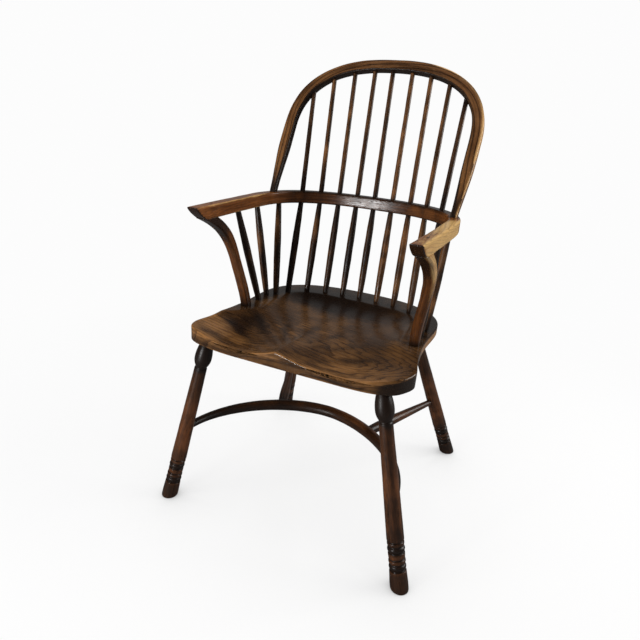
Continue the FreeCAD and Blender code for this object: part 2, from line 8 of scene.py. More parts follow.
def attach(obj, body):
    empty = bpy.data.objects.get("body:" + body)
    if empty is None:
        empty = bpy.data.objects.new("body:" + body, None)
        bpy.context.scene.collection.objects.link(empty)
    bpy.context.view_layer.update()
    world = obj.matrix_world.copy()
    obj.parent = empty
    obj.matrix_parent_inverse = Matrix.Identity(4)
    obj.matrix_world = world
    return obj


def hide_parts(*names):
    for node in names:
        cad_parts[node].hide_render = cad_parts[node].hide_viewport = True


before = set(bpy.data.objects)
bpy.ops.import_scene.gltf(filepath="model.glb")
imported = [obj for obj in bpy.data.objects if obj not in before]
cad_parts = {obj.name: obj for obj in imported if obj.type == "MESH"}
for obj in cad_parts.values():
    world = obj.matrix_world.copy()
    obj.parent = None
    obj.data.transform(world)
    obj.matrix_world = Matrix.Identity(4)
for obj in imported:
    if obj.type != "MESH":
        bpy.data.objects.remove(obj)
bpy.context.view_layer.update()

# Double-bow Windsor armchair. Shapes are worked out in millimetres in the CAD frame
# and turned into metres when a mesh is made. Left is -X, the front is -Y.

SEAT_TOP = 432.5
SEAT_UNDER = 392.5
SEAT_FRONT = -250.5
ARM_TOP = 673.5
ARM_UNDER = 645.5
ARM_MIDDLE = (ARM_TOP + ARM_UNDER) / 2
ARM_TIP = -240.0
ARM_TIP_HALF = 219.5
ARM_WIDTH = 25.0
HOOP_FOOT_HALF = 213.0
HOOP_FOOT_Y = 60.5
LEAN = 0.5487
SLOPE = math.hypot(1.0, LEAN)

# Upper bows: half width, where the curve begins, its crown and its power
ARM_BOW = (223.0, -16.0, 170.0, 2.6)
HOOP_BOW = (217.5, 164.5, 327.0, 2.45)

# Where supports and sticks stand in the seat, and where sticks meet the arm and the hoop
SUPPORT_FOOT = (200.0, -71.0)
SIDE_SEAT = [(197.7, -20.0), (198.5, 18.0), (184.5, 40.0)]
SIDE_ARM_Y = [-79.0, 0.0, 76.0]
STICK_SEAT = [(-167.4, 70.7), (-130.6, 101.9), (-88.8, 123.2), (-44.7, 129.8), (-0.5, 133.0),
              (43.3, 134.0), (89.4, 127.0), (134.5, 107.0), (169.5, 66.0)]
STICK_ARM_X = [-170.6, -131.6, -88.2, -43.8, 0.3, 45.0, 89.4, 131.2, 171.2]
STICK_HOOP_X = [-183.6, -139.9, -91.7, -44.4, -2.2, 44.3, 88.6, 134.0, 177.0]

# Direction that no leg or stick runs along
ASIDE = (0.0, -1.0, 0.15)


# Small helpers

def side_name(side):
    return "right" if side > 0 else "left"


def ease(t):
    """Smooth rise from 0 to 1."""
    t = np.clip(t, 0.0, 1.0)
    return t * t * (3.0 - 2.0 * t)


def bump_at(x, centre, width):
    """Bell of height 1."""
    return np.exp(-((x - centre) / width) ** 2)


def spot(x, y, centre_x, centre_y, size):
    """Round bell of height 1."""
    return np.exp(-((x - centre_x) ** 2 + (y - centre_y) ** 2) / size ** 2)


def waver(values, seed, period):
    """Slow irregular wave of about -1 to 1 along the values."""
    rng = np.random.default_rng(seed)
    values = np.asarray(values, float)
    total = np.zeros_like(values)
    for k in range(4):
        phase = rng.uniform(0, 2 * math.pi)
        stretch = period * rng.uniform(0.5, 1.6) / (1 + 0.6 * k)
        total += np.sin(values * 2 * math.pi / stretch + phase) / (1.5 + k)
    return total / 1.4


def unit(v):
    return v / np.linalg.norm(v, axis=-1, keepdims=True)


def lengths(line):
    """Distance along a line at each of its points."""
    return np.concatenate([[0], np.cumsum(np.linalg.norm(np.diff(line, axis=0), axis=1))])


def resample(line, count):
    """Evenly spaced points along a line."""
    line = np.asarray(line, float)
    s = lengths(line)
    at = np.linspace(0, s[-1], count)
    return np.stack([np.interp(at, s, line[:, k]) for k in range(line.shape[1])], axis=1)


def natural_spline(points, count):
    """Evenly spaced points on the natural cubic spline through the points."""
    p = np.asarray(points, float)
    t = lengths(p)
    h = np.diff(t)
    n = len(p)
    a = np.zeros((n, n))
    b = np.zeros((n, p.shape[1]))
    a[0, 0] = a[-1, -1] = 1.0
    for i in range(1, n - 1):
        a[i, i - 1] = h[i - 1]
        a[i, i] = 2 * (h[i - 1] + h[i])
        a[i, i + 1] = h[i]
        b[i] = 6 * ((p[i + 1] - p[i]) / h[i] - (p[i] - p[i - 1]) / h[i - 1])
    m = np.linalg.solve(a, b)
    fine = np.linspace(0, t[-1], 40 * n)
    k = np.clip(np.searchsorted(t, fine, side="right") - 1, 0, n - 2)
    u = (t[k + 1] - fine)[:, None]
    v = (fine - t[k])[:, None]
    w = h[k][:, None]
    curve = (m[k] * u ** 3 + m[k + 1] * v ** 3) / (6 * w)
    curve = curve + (p[k] / w - m[k] * w / 6) * u + (p[k + 1] / w - m[k + 1] * w / 6) * v
    return resample(curve, count)


def natural_loop(points, count):
    """Evenly spaced points on a smooth closed curve through the points."""
    p = np.asarray(points, float)
    before = 6
    wrapped = np.concatenate([p[-before:], p, p[:before + 1]])
    t = lengths(wrapped)
    fine = natural_spline(wrapped, 60 * len(wrapped))
    s = lengths(fine)
    scale = s[-1] / t[-1]
    closed = fine[(s >= t[before] * scale) & (s < t[before + len(p)] * scale)]
    closed = np.concatenate([closed, closed[:1]])
    return resample(closed, count + 1)[:-1]


def bow_path(half_width, centre, crown, power, end_half_width, end, count):
    """Flat bow from the right end round the crown to the left end, as in the CAD."""
    share = np.linspace(1, 0, 40, endpoint=False)
    straight = np.stack([half_width + (end_half_width - half_width) * share ** 2,
                         centre + (end - centre) * share], axis=1)
    turn = np.radians(np.linspace(0, 90, 400))
    arch = np.stack([half_width * np.cos(turn) ** (2 / power),
                     centre + (crown - centre) * np.sin(turn) ** (2 / power)], axis=1)
    right = np.concatenate([straight, arch])
    left = right[::-1][1:] * [-1, 1]
    return resample(np.concatenate([right, left]), count)


def bow_height(half_width, centre, crown, power, x):
    """Where the curved part of a bow lies at a distance from its middle."""
    return centre + (crown - centre) * (1.0 - abs(x / half_width) ** power) ** (1.0 / power)


def beside_bow(line, a):
    """Points in a bow's plane that lie the distances a outward from its centre line."""
    ahead = unit(np.gradient(line, axis=0))
    return line[:, 0, None] + a * ahead[:, 1, None], line[:, 1, None] - a * ahead[:, 0, None]


# Pieces

def put_in_scene(name, data):
    obj = bpy.data.objects.new(name, data)
    bpy.context.scene.collection.objects.link(obj)
    return obj


def piece(name, loops, grain, wear_and_painted_light, dark, material, nodes):
    """Closed skin over a stack of rings, with what the wood's shader needs on each point."""
    loops = np.asarray(loops, float)
    rows, cols = loops.shape[:2]
    ends = np.stack([loops[0].mean(0), loops[-1].mean(0)])
    points = np.concatenate([loops.reshape(-1, 3), ends]) * 0.001
    i = np.arange(rows - 1)[:, None] * cols
    j = np.arange(cols)[None, :]
    k = (j + 1) % cols
    quads = np.stack([i + j, i + k, i + cols + k, i + cols + j], axis=-1).reshape(-1, 4).tolist()
    first = rows * cols
    last = (rows - 1) * cols
    sides = list(zip(range(cols), list(range(1, cols)) + [0]))
    fans = [[first, b, a] for a, b in sides]
    fans += [[first + 1, last + a, last + b] for a, b in sides]
    mesh = bpy.data.meshes.new(name)
    mesh.from_pydata(points.tolist(), [], quads + fans)
    mesh.update()
    mesh.shade_smooth()

    def put(key, kind, field, values):
        values = np.broadcast_to(values, (rows, cols) + values.shape[2:])
        both = np.stack([values[0].mean(0), values[-1].mean(0)])
        flat = np.concatenate([values.reshape((-1,) + values.shape[2:]), both])
        mesh.attributes.new(key, kind, "POINT").data.foreach_set(field, flat.astype(np.float32).ravel())

    put("grain", "FLOAT_VECTOR", "vector", grain * 0.001)
    put("wear_and_painted_light", "FLOAT", "value", np.clip(wear_and_painted_light, 0, 1))
    put("dark", "FLOAT", "value", np.clip(dark, 0, 1))
    mesh.materials.append(material)
    obj = put_in_scene(name, mesh)
    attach(obj, "root")
    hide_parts(*nodes)


def grain_at(a, b, along):
    """Grain coordinate of ring points: two distances across the piece and one along it."""
    return np.stack(np.broadcast_arrays(a, b, along), axis=-1)


def rounded_section(corner_points=7, flat_points=5):
    """Unit rounded rectangle: directions of its corners and how near each point is to an arris."""
    a = []
    b = []
    edge = []
    corners = [(1, 1), (-1, 1), (-1, -1), (1, -1)]
    for quarter, (cx, cy) in enumerate(corners):
        start = quarter * 90.0
        for k in range(corner_points):
            share = k / (corner_points - 1)
            angle = math.radians(start + 90.0 * share)
            a.append((cx, math.cos(angle)))
            b.append((cy, math.sin(angle)))
            edge.append(math.sin(math.pi * share) ** 0.7 if 0 < share < 1 else 0.25)
        nx, ny = corners[(quarter + 1) % 4]
        end = math.radians(start + 90.0)
        for k in range(1, flat_points):
            share = k / flat_points
            a.append((cx + (nx - cx) * share, math.cos(end)))
            b.append((cy + (ny - cy) * share, math.sin(end)))
            edge.append(0.0)
    return np.array(a), np.array(b), np.array(edge)


SECTION_A, SECTION_B, SECTION_EDGE = rounded_section()


def section_points(width, depth, radius):
    """Local points of rounded rectangles, one row for each width, depth and corner radius."""
    width = np.asarray(width, float)[:, None]
    depth = np.asarray(depth, float)[:, None]
    radius = np.asarray(radius, float)[:, None]
    x = SECTION_A[:, 0] * (width / 2 - radius) + SECTION_A[:, 1] * radius
    y = SECTION_B[:, 0] * (depth / 2 - radius) + SECTION_B[:, 1] * radius
    return x, y


def bars(outline, step, soften):
    """Distances and radii of a turned outline, resampled and softened like worn wood."""
    line = resample(outline, int(lengths(outline)[-1] / step) + 2)
    kernel = np.exp(-(np.arange(-4, 5) * step / soften) ** 2 / 2)
    kernel /= kernel.sum()
    padded = np.pad(line, ((4, 4), (0, 0)), mode="edge")
    smooth = np.stack([np.convolve(padded[:, k], kernel, mode="valid") for k in range(2)], axis=1)
    smooth[0] = line[0]
    smooth[-1] = line[-1]
    return smooth[:, 0], smooth[:, 1]


def rings_about(line, ahead, a, b):
    """Rings round the points of a line, a and b away from it across its direction."""
    u = unit(np.cross(ahead, ASIDE))
    v = np.cross(ahead, u)
    return line[:, None, :] + a[..., None] * u[..., None, :] + b[..., None] * v[..., None, :]


def turned_rings(start, end, distance, radius, seed, cols):
    """Rings of a turned piece, with the grain running along its axis."""
    ahead = unit(end - start)
    rng = np.random.default_rng(seed)
    angle = np.linspace(0, 2 * math.pi, cols, endpoint=False)
    oval = 1 + 0.012 * np.cos(2 * angle[None, :] + rng.uniform(0, 6))
    uneven = 1 + 0.008 * waver(distance, seed + 9, 90)[:, None]
    r = radius[:, None] * oval * uneven
    a = r * np.cos(angle)
    b = r * np.sin(angle)
    loops = rings_about(start + distance[:, None] * ahead, ahead, a, b)
    offset = rng.uniform(-400, 400, 3)
    grain = grain_at(a + offset[0], b + offset[1], distance[:, None] + offset[2])
    return loops, grain, angle


# Materials

def linear(r, g, b):
    """Linear colour of an sRGB colour in levels of 0 to 255."""
    out = []
    for c in (r, g, b):
        c = c / 255.0
        out.append(c / 12.92 if c <= 0.04045 else ((c + 0.055) / 1.055) ** 2.4)
    return (*out, 1.0)


class Nodes:
    """Short way to write a node tree."""

    def __init__(self, owner):
        self.tree = owner.node_tree

    def add(self, kind, inputs=None, **settings):
        """New shader node with its settings, its inputs set or linked by name."""
        node = self.tree.nodes.new("ShaderNode" + kind)
        for key, value in settings.items():
            setattr(node, key, value)
        for key, value in (inputs or {}).items():
            self.link(value, node.inputs[key])
        return node

    def link(self, out, into):
        if isinstance(out, (int, float, tuple)):
            into.default_value = out
        else:
            self.tree.links.new(out, into)

    def math(self, operation, a, b=None, clamp=False):
        inputs = {0: a} if b is None else {0: a, 1: b}
        return self.add("Math", inputs, operation=operation, use_clamp=clamp).outputs[0]

    def products(self, a, b, c, d):
        """The sum of a times b and c times d."""
        return self.math("ADD", self.math("MULTIPLY", a, b), self.math("MULTIPLY", c, d))

    def plus(self, value, other, share, clamp=False):
        """A value and a share of another."""
        return self.math("ADD", value, self.math("MULTIPLY", other, share), clamp)

    def sway(self, value, field, amount):
        """A value moved up and down by a noise field about 0.5."""
        return self.plus(value, self.math("SUBTRACT", field, 0.5), amount)

    def noise(self, where, scale, detail, rough):
        inputs = {"Vector": where, "Scale": scale, "Detail": detail, "Roughness": rough}
        return self.add("TexNoise", inputs).outputs["Fac"]

    def drawn_noise(self, grain, along, scale, detail, rough):
        """Noise drawn out along the grain."""
        drawn = self.add("VectorMath", {0: grain, 1: (1.0, 1.0, along)}, operation="MULTIPLY")
        return self.noise(drawn.outputs[0], scale, detail, rough)

    def ramp(self, value, low, high, start=0.0, end=1.0):
        inputs = {"Value": value, "From Min": low, "From Max": high, "To Min": start, "To Max": end}
        return self.add("MapRange", inputs, interpolation_type="SMOOTHSTEP").outputs["Result"]

    def mix(self, share, a, b, blend="MIX"):
        inputs = {"Factor": share, "A": a, "B": b}
        return self.add("Mix", inputs, data_type="RGBA", blend_type=blend).outputs["Result"]

    def attribute(self, name, output="Fac"):
        return self.add("Attribute", attribute_name=name).outputs[output]


LATE_WOOD = (0.24, 0.21, 0.2, 1.0)
PORE_BLACK = linear(17, 11, 8)
# Dark colour for grime and for painted shade
GRIME_AND_SHADE = linear(24, 16, 12)


def growth_rings(n, grain, spacing, pith, tilt, sway):
    """Place within a growth ring, and its late wood, about a pith line bent by slow noise."""
    slow = n.drawn_noise(grain, 0.16, 26.0, 2.0, 0.5)
    waves = n.drawn_noise(grain, 0.05, 140.0, 2.0, 0.5)
    axes = n.add("SeparateXYZ", {0: grain}).outputs
    dx = n.plus(n.math("ADD", axes["X"], pith[0]), axes["Z"], tilt[0])
    dy = n.plus(n.math("ADD", axes["Y"], pith[1]), axes["Z"], tilt[1])
    far = n.math("SQRT", n.products(dx, dx, dy, dy))
    bent = n.sway(n.sway(far, slow, sway), waves, 0.0016)
    ring = n.math("FRACT", n.math("DIVIDE", bent, spacing))
    late = n.math("MULTIPLY", n.ramp(ring, 0.55, 0.93), n.ramp(ring, 0.93, 1.0, 1.0, 0.0))
    return ring, late


def wood(name, tones, spacing, line, pores, rough, bump, spread,
         pith=(0.03, 0.05), tilt=(0.045, 0.045), mottle=0.5, sway=0.022):
    """Stained, waxed and worn ring-porous wood that follows the grain coordinate, with painted light and
    painted shade laid into its colour from the mesh's attributes.

    Its tones are the stain's deep, middle and light ones, and the bare wood of handled places, which is also
    the colour of painted light.
    """
    deep, mid, light, worn_and_lit = [linear(*tone) for tone in tones]
    material = bpy.data.materials.new(name)
    material.use_nodes = True
    n = Nodes(material)
    shader = n.tree.nodes["Principled BSDF"]
    grain = n.attribute("grain", "Vector")
    wear_and_painted_light = n.attribute("wear_and_painted_light")
    dark = n.attribute("dark")
    ring, late = growth_rings(n, grain, spacing, pith, tilt, sway)

    # Fibres, pores and broad patches
    fibre = n.drawn_noise(grain, 0.022, 1300.0, 3.0, 0.6)
    streak = n.drawn_noise(grain, 0.03, 260.0, 3.0, 0.6)
    pore_field = n.drawn_noise(grain, 0.05, 1900.0, 1.0, 0.5)
    pore = n.math("MULTIPLY", n.ramp(pore_field, 0.58, 0.7), n.ramp(ring, 0.1, 0.8, 0.25, 1.0))
    rub = n.drawn_noise(grain, 0.25, 95.0, 4.0, 0.65)
    place = n.add("NewGeometry").outputs["Position"]
    patch = n.noise(place, 11.0, 3.0, 0.6)
    smudge = n.noise(place, 38.0, 4.0, 0.62)
    dents = n.noise(place, 55.0, 2.0, 0.5)

    # Colour: stain, bare wood where it is rubbed and where painted light falls, late wood, pores, and grime
    # and painted shade
    tone = n.products(streak, 0.75, fibre, 0.25)
    colour = n.mix(n.ramp(tone, 0.5 - spread, 0.5 + spread), deep, mid)
    colour = n.mix(n.ramp(patch, 0.42, 0.68, 0.0, mottle), colour, light)
    bare_and_lit = n.ramp(n.sway(n.sway(wear_and_painted_light, rub, 0.9), smudge, 0.4), 0.22, 0.95)
    colour = n.mix(bare_and_lit, colour, worn_and_lit)
    shade = n.mix(1.0, colour, LATE_WOOD, "MULTIPLY")
    colour = n.mix(n.math("MULTIPLY", late, line), colour, shade)
    colour = n.mix(n.math("MULTIPLY", pore, pores), colour, PORE_BLACK)
    # One dark mask carries grime, dark joints and end grain, and painted shade
    grime_and_shade = n.ramp(n.sway(dark, smudge, 0.55), 0.16, 0.95, 0.0, 0.93)
    colour = n.mix(grime_and_shade, colour, GRIME_AND_SHADE)
    n.link(colour, shader.inputs["Base Color"])

    # Gloss: waxed where it is handled, dull in pores, grime and painted shade
    gloss = n.ramp(n.products(smudge, 0.6, streak, 0.4), 0.3, 0.7, rough[0], rough[1])
    gloss = n.plus(n.plus(gloss, pore, 0.16), grime_and_shade, 0.05, clamp=True)
    n.link(gloss, shader.inputs["Roughness"])
    shader.inputs["IOR"].default_value = 1.4

    # Relief: fibres, open pores, shallow dents and late wood standing proud
    relief = n.plus(n.products(fibre, 0.30, late, 0.22), pore, -0.6)
    relief = n.plus(relief, n.ramp(dents, 0.35, 0.7), 0.5)
    tool = n.add("Bump", {"Strength": bump, "Distance": 0.0006, "Height": relief})
    n.link(tool.outputs["Normal"], shader.inputs["Normal"])
    return material


seat_wood = wood("seat_elm", [(40, 25, 13), (86, 57, 30), (112, 77, 42), (148, 104, 60)],
                 spacing=0.0068, line=0.75, pores=0.3, rough=(0.15, 0.27), bump=0.12, spread=0.3,
                 pith=(0.15, -0.38), tilt=(0.03, 0.17), mottle=0.7, sway=0.03)
leg_wood = wood("turned_beech", [(28, 17, 9), (74, 43, 22), (96, 58, 31), (136, 80, 42)],
                spacing=0.0028, line=0.35, pores=0.22, rough=(0.24, 0.4), bump=0.12, spread=0.24)
hoop_wood = wood("bent_ash_hoop", [(62, 37, 16), (116, 75, 38), (136, 92, 50), (206, 160, 102)],
                 spacing=0.0046, line=1.0, pores=0.5, rough=(0.26, 0.4), bump=0.24, spread=0.16,
                 tilt=(0.014, 0.018), sway=0.005)
arm_wood = wood("bent_ash_arm", [(66, 38, 18), (134, 79, 38), (152, 95, 50), (208, 168, 108)],
                spacing=0.0036, line=0.4, pores=0.28, rough=(0.16, 0.28), bump=0.13, spread=0.24)
stick_wood = wood("shaved_sticks", [(26, 17, 11), (92, 60, 34), (120, 80, 46), (146, 98, 56)],
                  spacing=0.0026, line=0.45, pores=0.4, rough=(0.24, 0.38), bump=0.2, spread=0.18,
                  mottle=0.6)


# Seat: the rim's lobe, waist, ears and front edge

LOBE_HALF = 217.0
LOBE_START = 22.0
LOBE_REACH = 158.0
WAIST_HALF = 216.0
WAIST_Y = -43.0
RIGHT_EAR = (237.0, -184.0)
LEFT_EAR = (246.0, -200.0)
FRONT_EDGE = [(-138.0, -249.6), (-90.0, -250.3), (-45.0, SEAT_FRONT), (0.0, SEAT_FRONT),
              (45.0, SEAT_FRONT), (90.0, -250.3), (138.0, -249.6)]
SEAT_CENTRE = np.array([0.0, -30.0])
UNDERCUT = 13.0

# The bowl behind, the two thigh hollows in front and the pommel between them
BOWL_Y = -6.0
BOWL_HALF = 162.0
BOWL_FLARE = 105.0
BOWL_REACH = 110.0
BOWL_DEPTH = 15.0
WALL_LIMIT = 45.0
THIGH_X = 112.0
THIGH_START = -95.0
THIGH_DEPTH = 25.5
POMMEL_X = -22.0
POMMEL_RISE = 20.5
EAR_RISE = 16.5

# Rubbed places; then painted dark reflections and painted shade of the arm supports and back sticks: x, y,
# size and amount
RUBBED = [(-205, -190, 60, 0.62), (-110, -238, 45, 0.35), (-30, -235, 45, 0.2), (90, -240, 55, 0.35),
          (150, -235, 60, 0.4), (200, -200, 35, 0.12), (-55, -120, 60, 0.2), (60, -90, 80, 0.14)]
DARK_REFLECTIONS = [(-150, -150, 42, 0.55), (-168, -120, 40, 0.4), (-82, 79, 70, 0.35), (20, 75, 90, 0.35),
           (120, -140, 34, 0.22), (150, -90, 40, 0.35)]


def saddle_drop(x, y):
    """Depth of the carved surface below the rim, as in the CAD."""
    down = np.where(y > BOWL_Y, (y - BOWL_Y) / BOWL_REACH, 0.0)
    across = np.where(y > BOWL_Y, BOWL_HALF, BOWL_HALF + BOWL_FLARE * ease((-60.0 - y) / 150.0))
    reach = np.abs(x / across) ** 4 + down ** 4
    bowl = BOWL_DEPTH - WALL_LIMIT * np.tanh(BOWL_DEPTH * reach / WALL_LIMIT)
    off = x - POMMEL_X
    beside = np.minimum(np.abs(off) / (THIGH_X - POMMEL_X * np.sign(off)), 1.0)
    beyond = (np.abs(x) - THIGH_X) / (RIGHT_EAR[0] - THIGH_X)
    front = THIGH_DEPTH - POMMEL_RISE * (1.0 - beside) ** 1.7 - EAR_RISE * ease(beyond)
    share = ease((THIGH_START - y) / (THIGH_START - SEAT_FRONT))
    return bowl + (front - bowl) * share


def seat_top(x, y):
    """Height of the upper face, its carved edges softened and its surface a little uneven."""
    drop = saddle_drop(x, y)
    soft = 0.5 * (drop + np.sqrt(drop * drop + 2.5)) - 0.35
    return SEAT_TOP - np.maximum(soft, 0.0) + 0.25 * waver(x + 0.6 * y, 3, 120) * waver(y, 4, 140)


def ear_points(ear_half, ear_y):
    """Rim from the front corner round the ear to the waist."""
    flare = ear_half - WAIST_HALF
    return [(ear_half - 48.0, -241.5), (ear_half - 22.0, SEAT_FRONT + 0.34 * (ear_y - SEAT_FRONT)),
            (ear_half - 7.0, ear_y - 22.0), (ear_half, ear_y), (ear_half - 0.26 * flare, ear_y + 28.0),
            (WAIST_HALF + 0.3 * flare, ear_y + 72.0), (WAIST_HALF, WAIST_Y)]


def seat_outline(count):
    right = ear_points(*RIGHT_EAR)
    left = [(-x, y) for x, y in reversed(ear_points(*LEFT_EAR))]
    lobe = []
    for turn in range(0, 181, 6):
        c = math.cos(math.radians(turn))
        s = math.sin(math.radians(turn))
        lobe.append((math.copysign(LOBE_HALF * abs(c) ** 0.8, c), LOBE_START + LOBE_REACH * abs(s) ** 0.8))
    return natural_loop(right + lobe + left + FRONT_EDGE, count)


def seat_rings():
    """Rings from the middle of the underside round the rim to the middle of the top."""
    count = 520
    under_round = 2.5
    wall_height = 22.0
    rim = seat_outline(count)
    ahead = unit(np.roll(rim, -1, 0) - np.roll(rim, 1, 0))
    inward = np.stack([-ahead[:, 1], ahead[:, 0]], axis=1)
    y = rim[:, 1]
    under = rim + inward * (UNDERCUT * ease((y + 190.0) / 147.0))[:, None]
    radius = 2.2 + 1.0 * ease((-60.0 - y) / 140.0)
    inner = rim + inward * radius[:, None]
    high = seat_top(inner[:, 0], inner[:, 1])
    shoulder = high - radius
    base = np.minimum(SEAT_UNDER + wall_height, shoulder - 1.0)
    rings = []
    edge = []

    def ring(points, z, arris=0.0):
        rings.append(np.concatenate([points, np.broadcast_to(z, (count,))[:, None]], axis=1))
        edge.append(arris)

    for share in np.linspace(0.06, 0.985, 14):
        ring(SEAT_CENTRE + (under - SEAT_CENTRE) * share, SEAT_UNDER)
    for angle in np.radians([20, 45, 70, 90]):
        ring(under + inward * under_round * (1 - math.sin(angle)),
             SEAT_UNDER + under_round * (1 - math.cos(angle)), 0.5)
    for share in np.linspace(0.15, 1.0, 6)[:-1]:
        ring(under + (rim - under) * share,
             SEAT_UNDER + under_round + (wall_height - under_round) * share, 0.1)
    ring(rim, base, 0.45)
    for share in np.linspace(0.25, 1.0, 4):
        ring(rim, base + (shoulder - base) * share, 0.15)
    for angle in np.radians(np.linspace(12, 90, 8)):
        ring(rim + inward * (radius * (1 - math.cos(angle)))[:, None],
             high - radius * (1 - math.sin(angle)),
             math.sin(2 * angle) ** 0.6 * 0.62 if angle < 1.5 else 0.25)
    for share in np.linspace(0.992, 0.03, 150):
        points = SEAT_CENTRE + (inner - SEAT_CENTRE) * share
        ring(points, seat_top(points[:, 0], points[:, 1]), 0.35 * max(0.0, (share - 0.95) / 0.05))
    return np.array(rings), np.array(edge), shoulder


def seat_tones(loops, edge, shoulder):
    """Where the seat is rubbed golden and where dirt stays, with painted shade, painted dark reflections and
    a painted sheen.
    """
    x, y, z = np.moveaxis(loops, -1, 0)
    top = ease((z - 398.0) / 12.0)
    wear_and_painted_light = edge[:, None] * (0.55 + 0.45 * ease((-40.0 - y) / 120.0))
    for spot_x, spot_y, size, amount in RUBBED:
        wear_and_painted_light += amount * spot(x, y, spot_x, spot_y, size) * top
    dish = np.maximum(0.0, saddle_drop(x, y))
    # Painted shade and dark reflection at the back of the seat and at the back of its sides, painted shade on
    # the back of the dish wall, and the sides and underside a little darker
    rear_painted_shade = ease((y + 15.0) / 90.0) * 0.62
    rear_painted_shade += ease((np.abs(x) - 168.0) / 20.0) * ease((y + 110.0) / 60.0) * 0.5
    wall = bump_at(dish, 5.0, 5.0) * ease((y + 40.0) / 80.0) * 0.35
    dark = np.maximum(rear_painted_shade, wall) * top + 0.1 * (1 - top)
    feet = [(side * foot_x, foot_y) for side in (-1, 1) for foot_x, foot_y in [SUPPORT_FOOT] + SIDE_SEAT]
    for foot_x, foot_y in feet + STICK_SEAT:
        dark += 0.5 * spot(x, y, foot_x, foot_y, 13.0) * top
    # Painted dark reflections and painted shade of the arm supports and back sticks
    for spot_x, spot_y, size, amount in DARK_REFLECTIONS:
        dark += amount * spot(x, y, spot_x, spot_y, size) * top

    # Painted reflections of the back sticks: dark bands that fan out from the middle of the front edge, with
    # a painted sheen between them
    fan_x = x + 22.0
    fan_y = y + 240.0
    far = np.hypot(fan_x, fan_y)
    reflection_bands = (0.5 + 0.5 * np.cos(17.0 * np.arctan2(fan_x, fan_y) + 0.7 * waver(far, 8, 220))) ** 2
    dark += 0.5 * reflection_bands * bump_at(far, 150.0, 80.0) * top
    wear_and_painted_light += 0.2 * (1 - reflection_bands) * bump_at(far, 140.0, 70.0) * top

    # The upright edge: a painted reflection makes it pale at the right, and it is dark at the right ear
    side_face = 1 - ease((z - shoulder + 3.0) / 4.0)
    painted_reflection = ease((x - 196.0) / 12.0) * ease((y + 120.0) / 70.0) * (1 - ease((y - 60.0) / 60.0)) * side_face
    ends = ease((x - 160.0) / 40.0) * ease((-90.0 - y) / 70.0) * side_face
    dark = np.clip(dark + 0.9 * ends, 0, 1) * (1 - 0.9 * painted_reflection)
    wear_and_painted_light = wear_and_painted_light * (1 - 0.6 * np.clip(rear_painted_shade, 0, 1)) * (1 - 0.6 * ease((x - 190.0) / 20.0)) + painted_reflection
    return wear_and_painted_light, dark


def make_seat():
    loops, edge, shoulder = seat_rings()
    wear_and_painted_light, dark = seat_tones(loops, edge, shoulder)
    x, y, z = np.moveaxis(loops, -1, 0)
    piece("seat_board", loops, grain_at(y + 0.06 * x, z + 20.0, x), wear_and_painted_light, dark, seat_wood,
          ["seat"])


# Legs

LEG_FEET = {True: (281.3, -259.7), False: (253.0, 259.7)}
LEG_TOPS = {(True, -1): (-200.5, -220.0), (True, 1): (189.5, -220.0),
            (False, -1): (-148.4, 117.2), (False, 1): (148.4, 117.2)}
# Painted shade over each whole leg, deepest on the rear legs under the seat
LEG_PAINTED_SHADE = {(True, 1): 0.2, (True, -1): 0.1, (False, 1): 0.26, (False, -1): 0.3}
FOOT_RADIUS = 18.1
ANKLE_RADIUS = 17.0
GROOVE_RADIUS = 14.4
BEAD_RADIUS = 17.2
FLAT_RADIUS = 16.2
NECK_RADIUS = 12.4
BULB_RADIUS = 18.3
LEG_TOP_RADIUS = 12.0

# Distances from the foot: two sets of rings, then the long taper to the neck
LOWER_RINGS = 42.0
RING_SET = 27.0
RING_GAP = 11.0
UPPER_RINGS = LOWER_RINGS + RING_SET + RING_GAP
TAPER_START = UPPER_RINGS + RING_SET
BEAD_MIDDLE = 8.5


def leg_ends(front, side):
    foot = np.array([side * LEG_FEET[front][0], LEG_FEET[front][1], 0.0])
    top = np.array([*LEG_TOPS[front, side], SEAT_UNDER])
    return foot, top


def arc_points(start, middle, end, count=14):
    """Points after the start on the circle through three (distance, radius) points."""
    (ax, ay), (bx, by), (cx, cy) = start, middle, end
    a2 = ax ** 2 + ay ** 2
    b2 = bx ** 2 + by ** 2
    c2 = cx ** 2 + cy ** 2
    d = 2 * (ax * (by - cy) + bx * (cy - ay) + cx * (ay - by))
    ux = (a2 * (by - cy) + b2 * (cy - ay) + c2 * (ay - by)) / d
    uy = (a2 * (cx - bx) + b2 * (ax - cx) + c2 * (bx - ax)) / d
    r = math.hypot(ax - ux, ay - uy)
    a0 = math.atan2(ay - uy, ax - ux)
    a1 = math.atan2(cy - uy, cx - ux)
    if a1 - a0 > math.pi:
        a1 -= 2 * math.pi
    if a0 - a1 > math.pi:
        a1 += 2 * math.pi
    turns = [a0 + (a1 - a0) * k / count for k in range(1, count + 1)]
    return [(ux + r * math.cos(turn), uy + r * math.sin(turn)) for turn in turns]


def ring_set(start):
    """Outline of a bead and a flatter ring between grooves."""
    bead = start + 3.0
    bead_end = bead + 11.0
    flat = bead_end + 3.0
    flat_end = flat + 7.0
    out = [(start, GROOVE_RADIUS), (bead, GROOVE_RADIUS)]
    out += arc_points((bead, GROOVE_RADIUS), (bead + 5.5, BEAD_RADIUS), (bead_end, GROOVE_RADIUS))
    out += [(flat, GROOVE_RADIUS), (flat, FLAT_RADIUS)]
    out += arc_points((flat, FLAT_RADIUS), (flat + 3.5, FLAT_RADIUS + 0.7), (flat_end, FLAT_RADIUS))
    return out + [(flat_end, GROOVE_RADIUS), (start + RING_SET, GROOVE_RADIUS)]


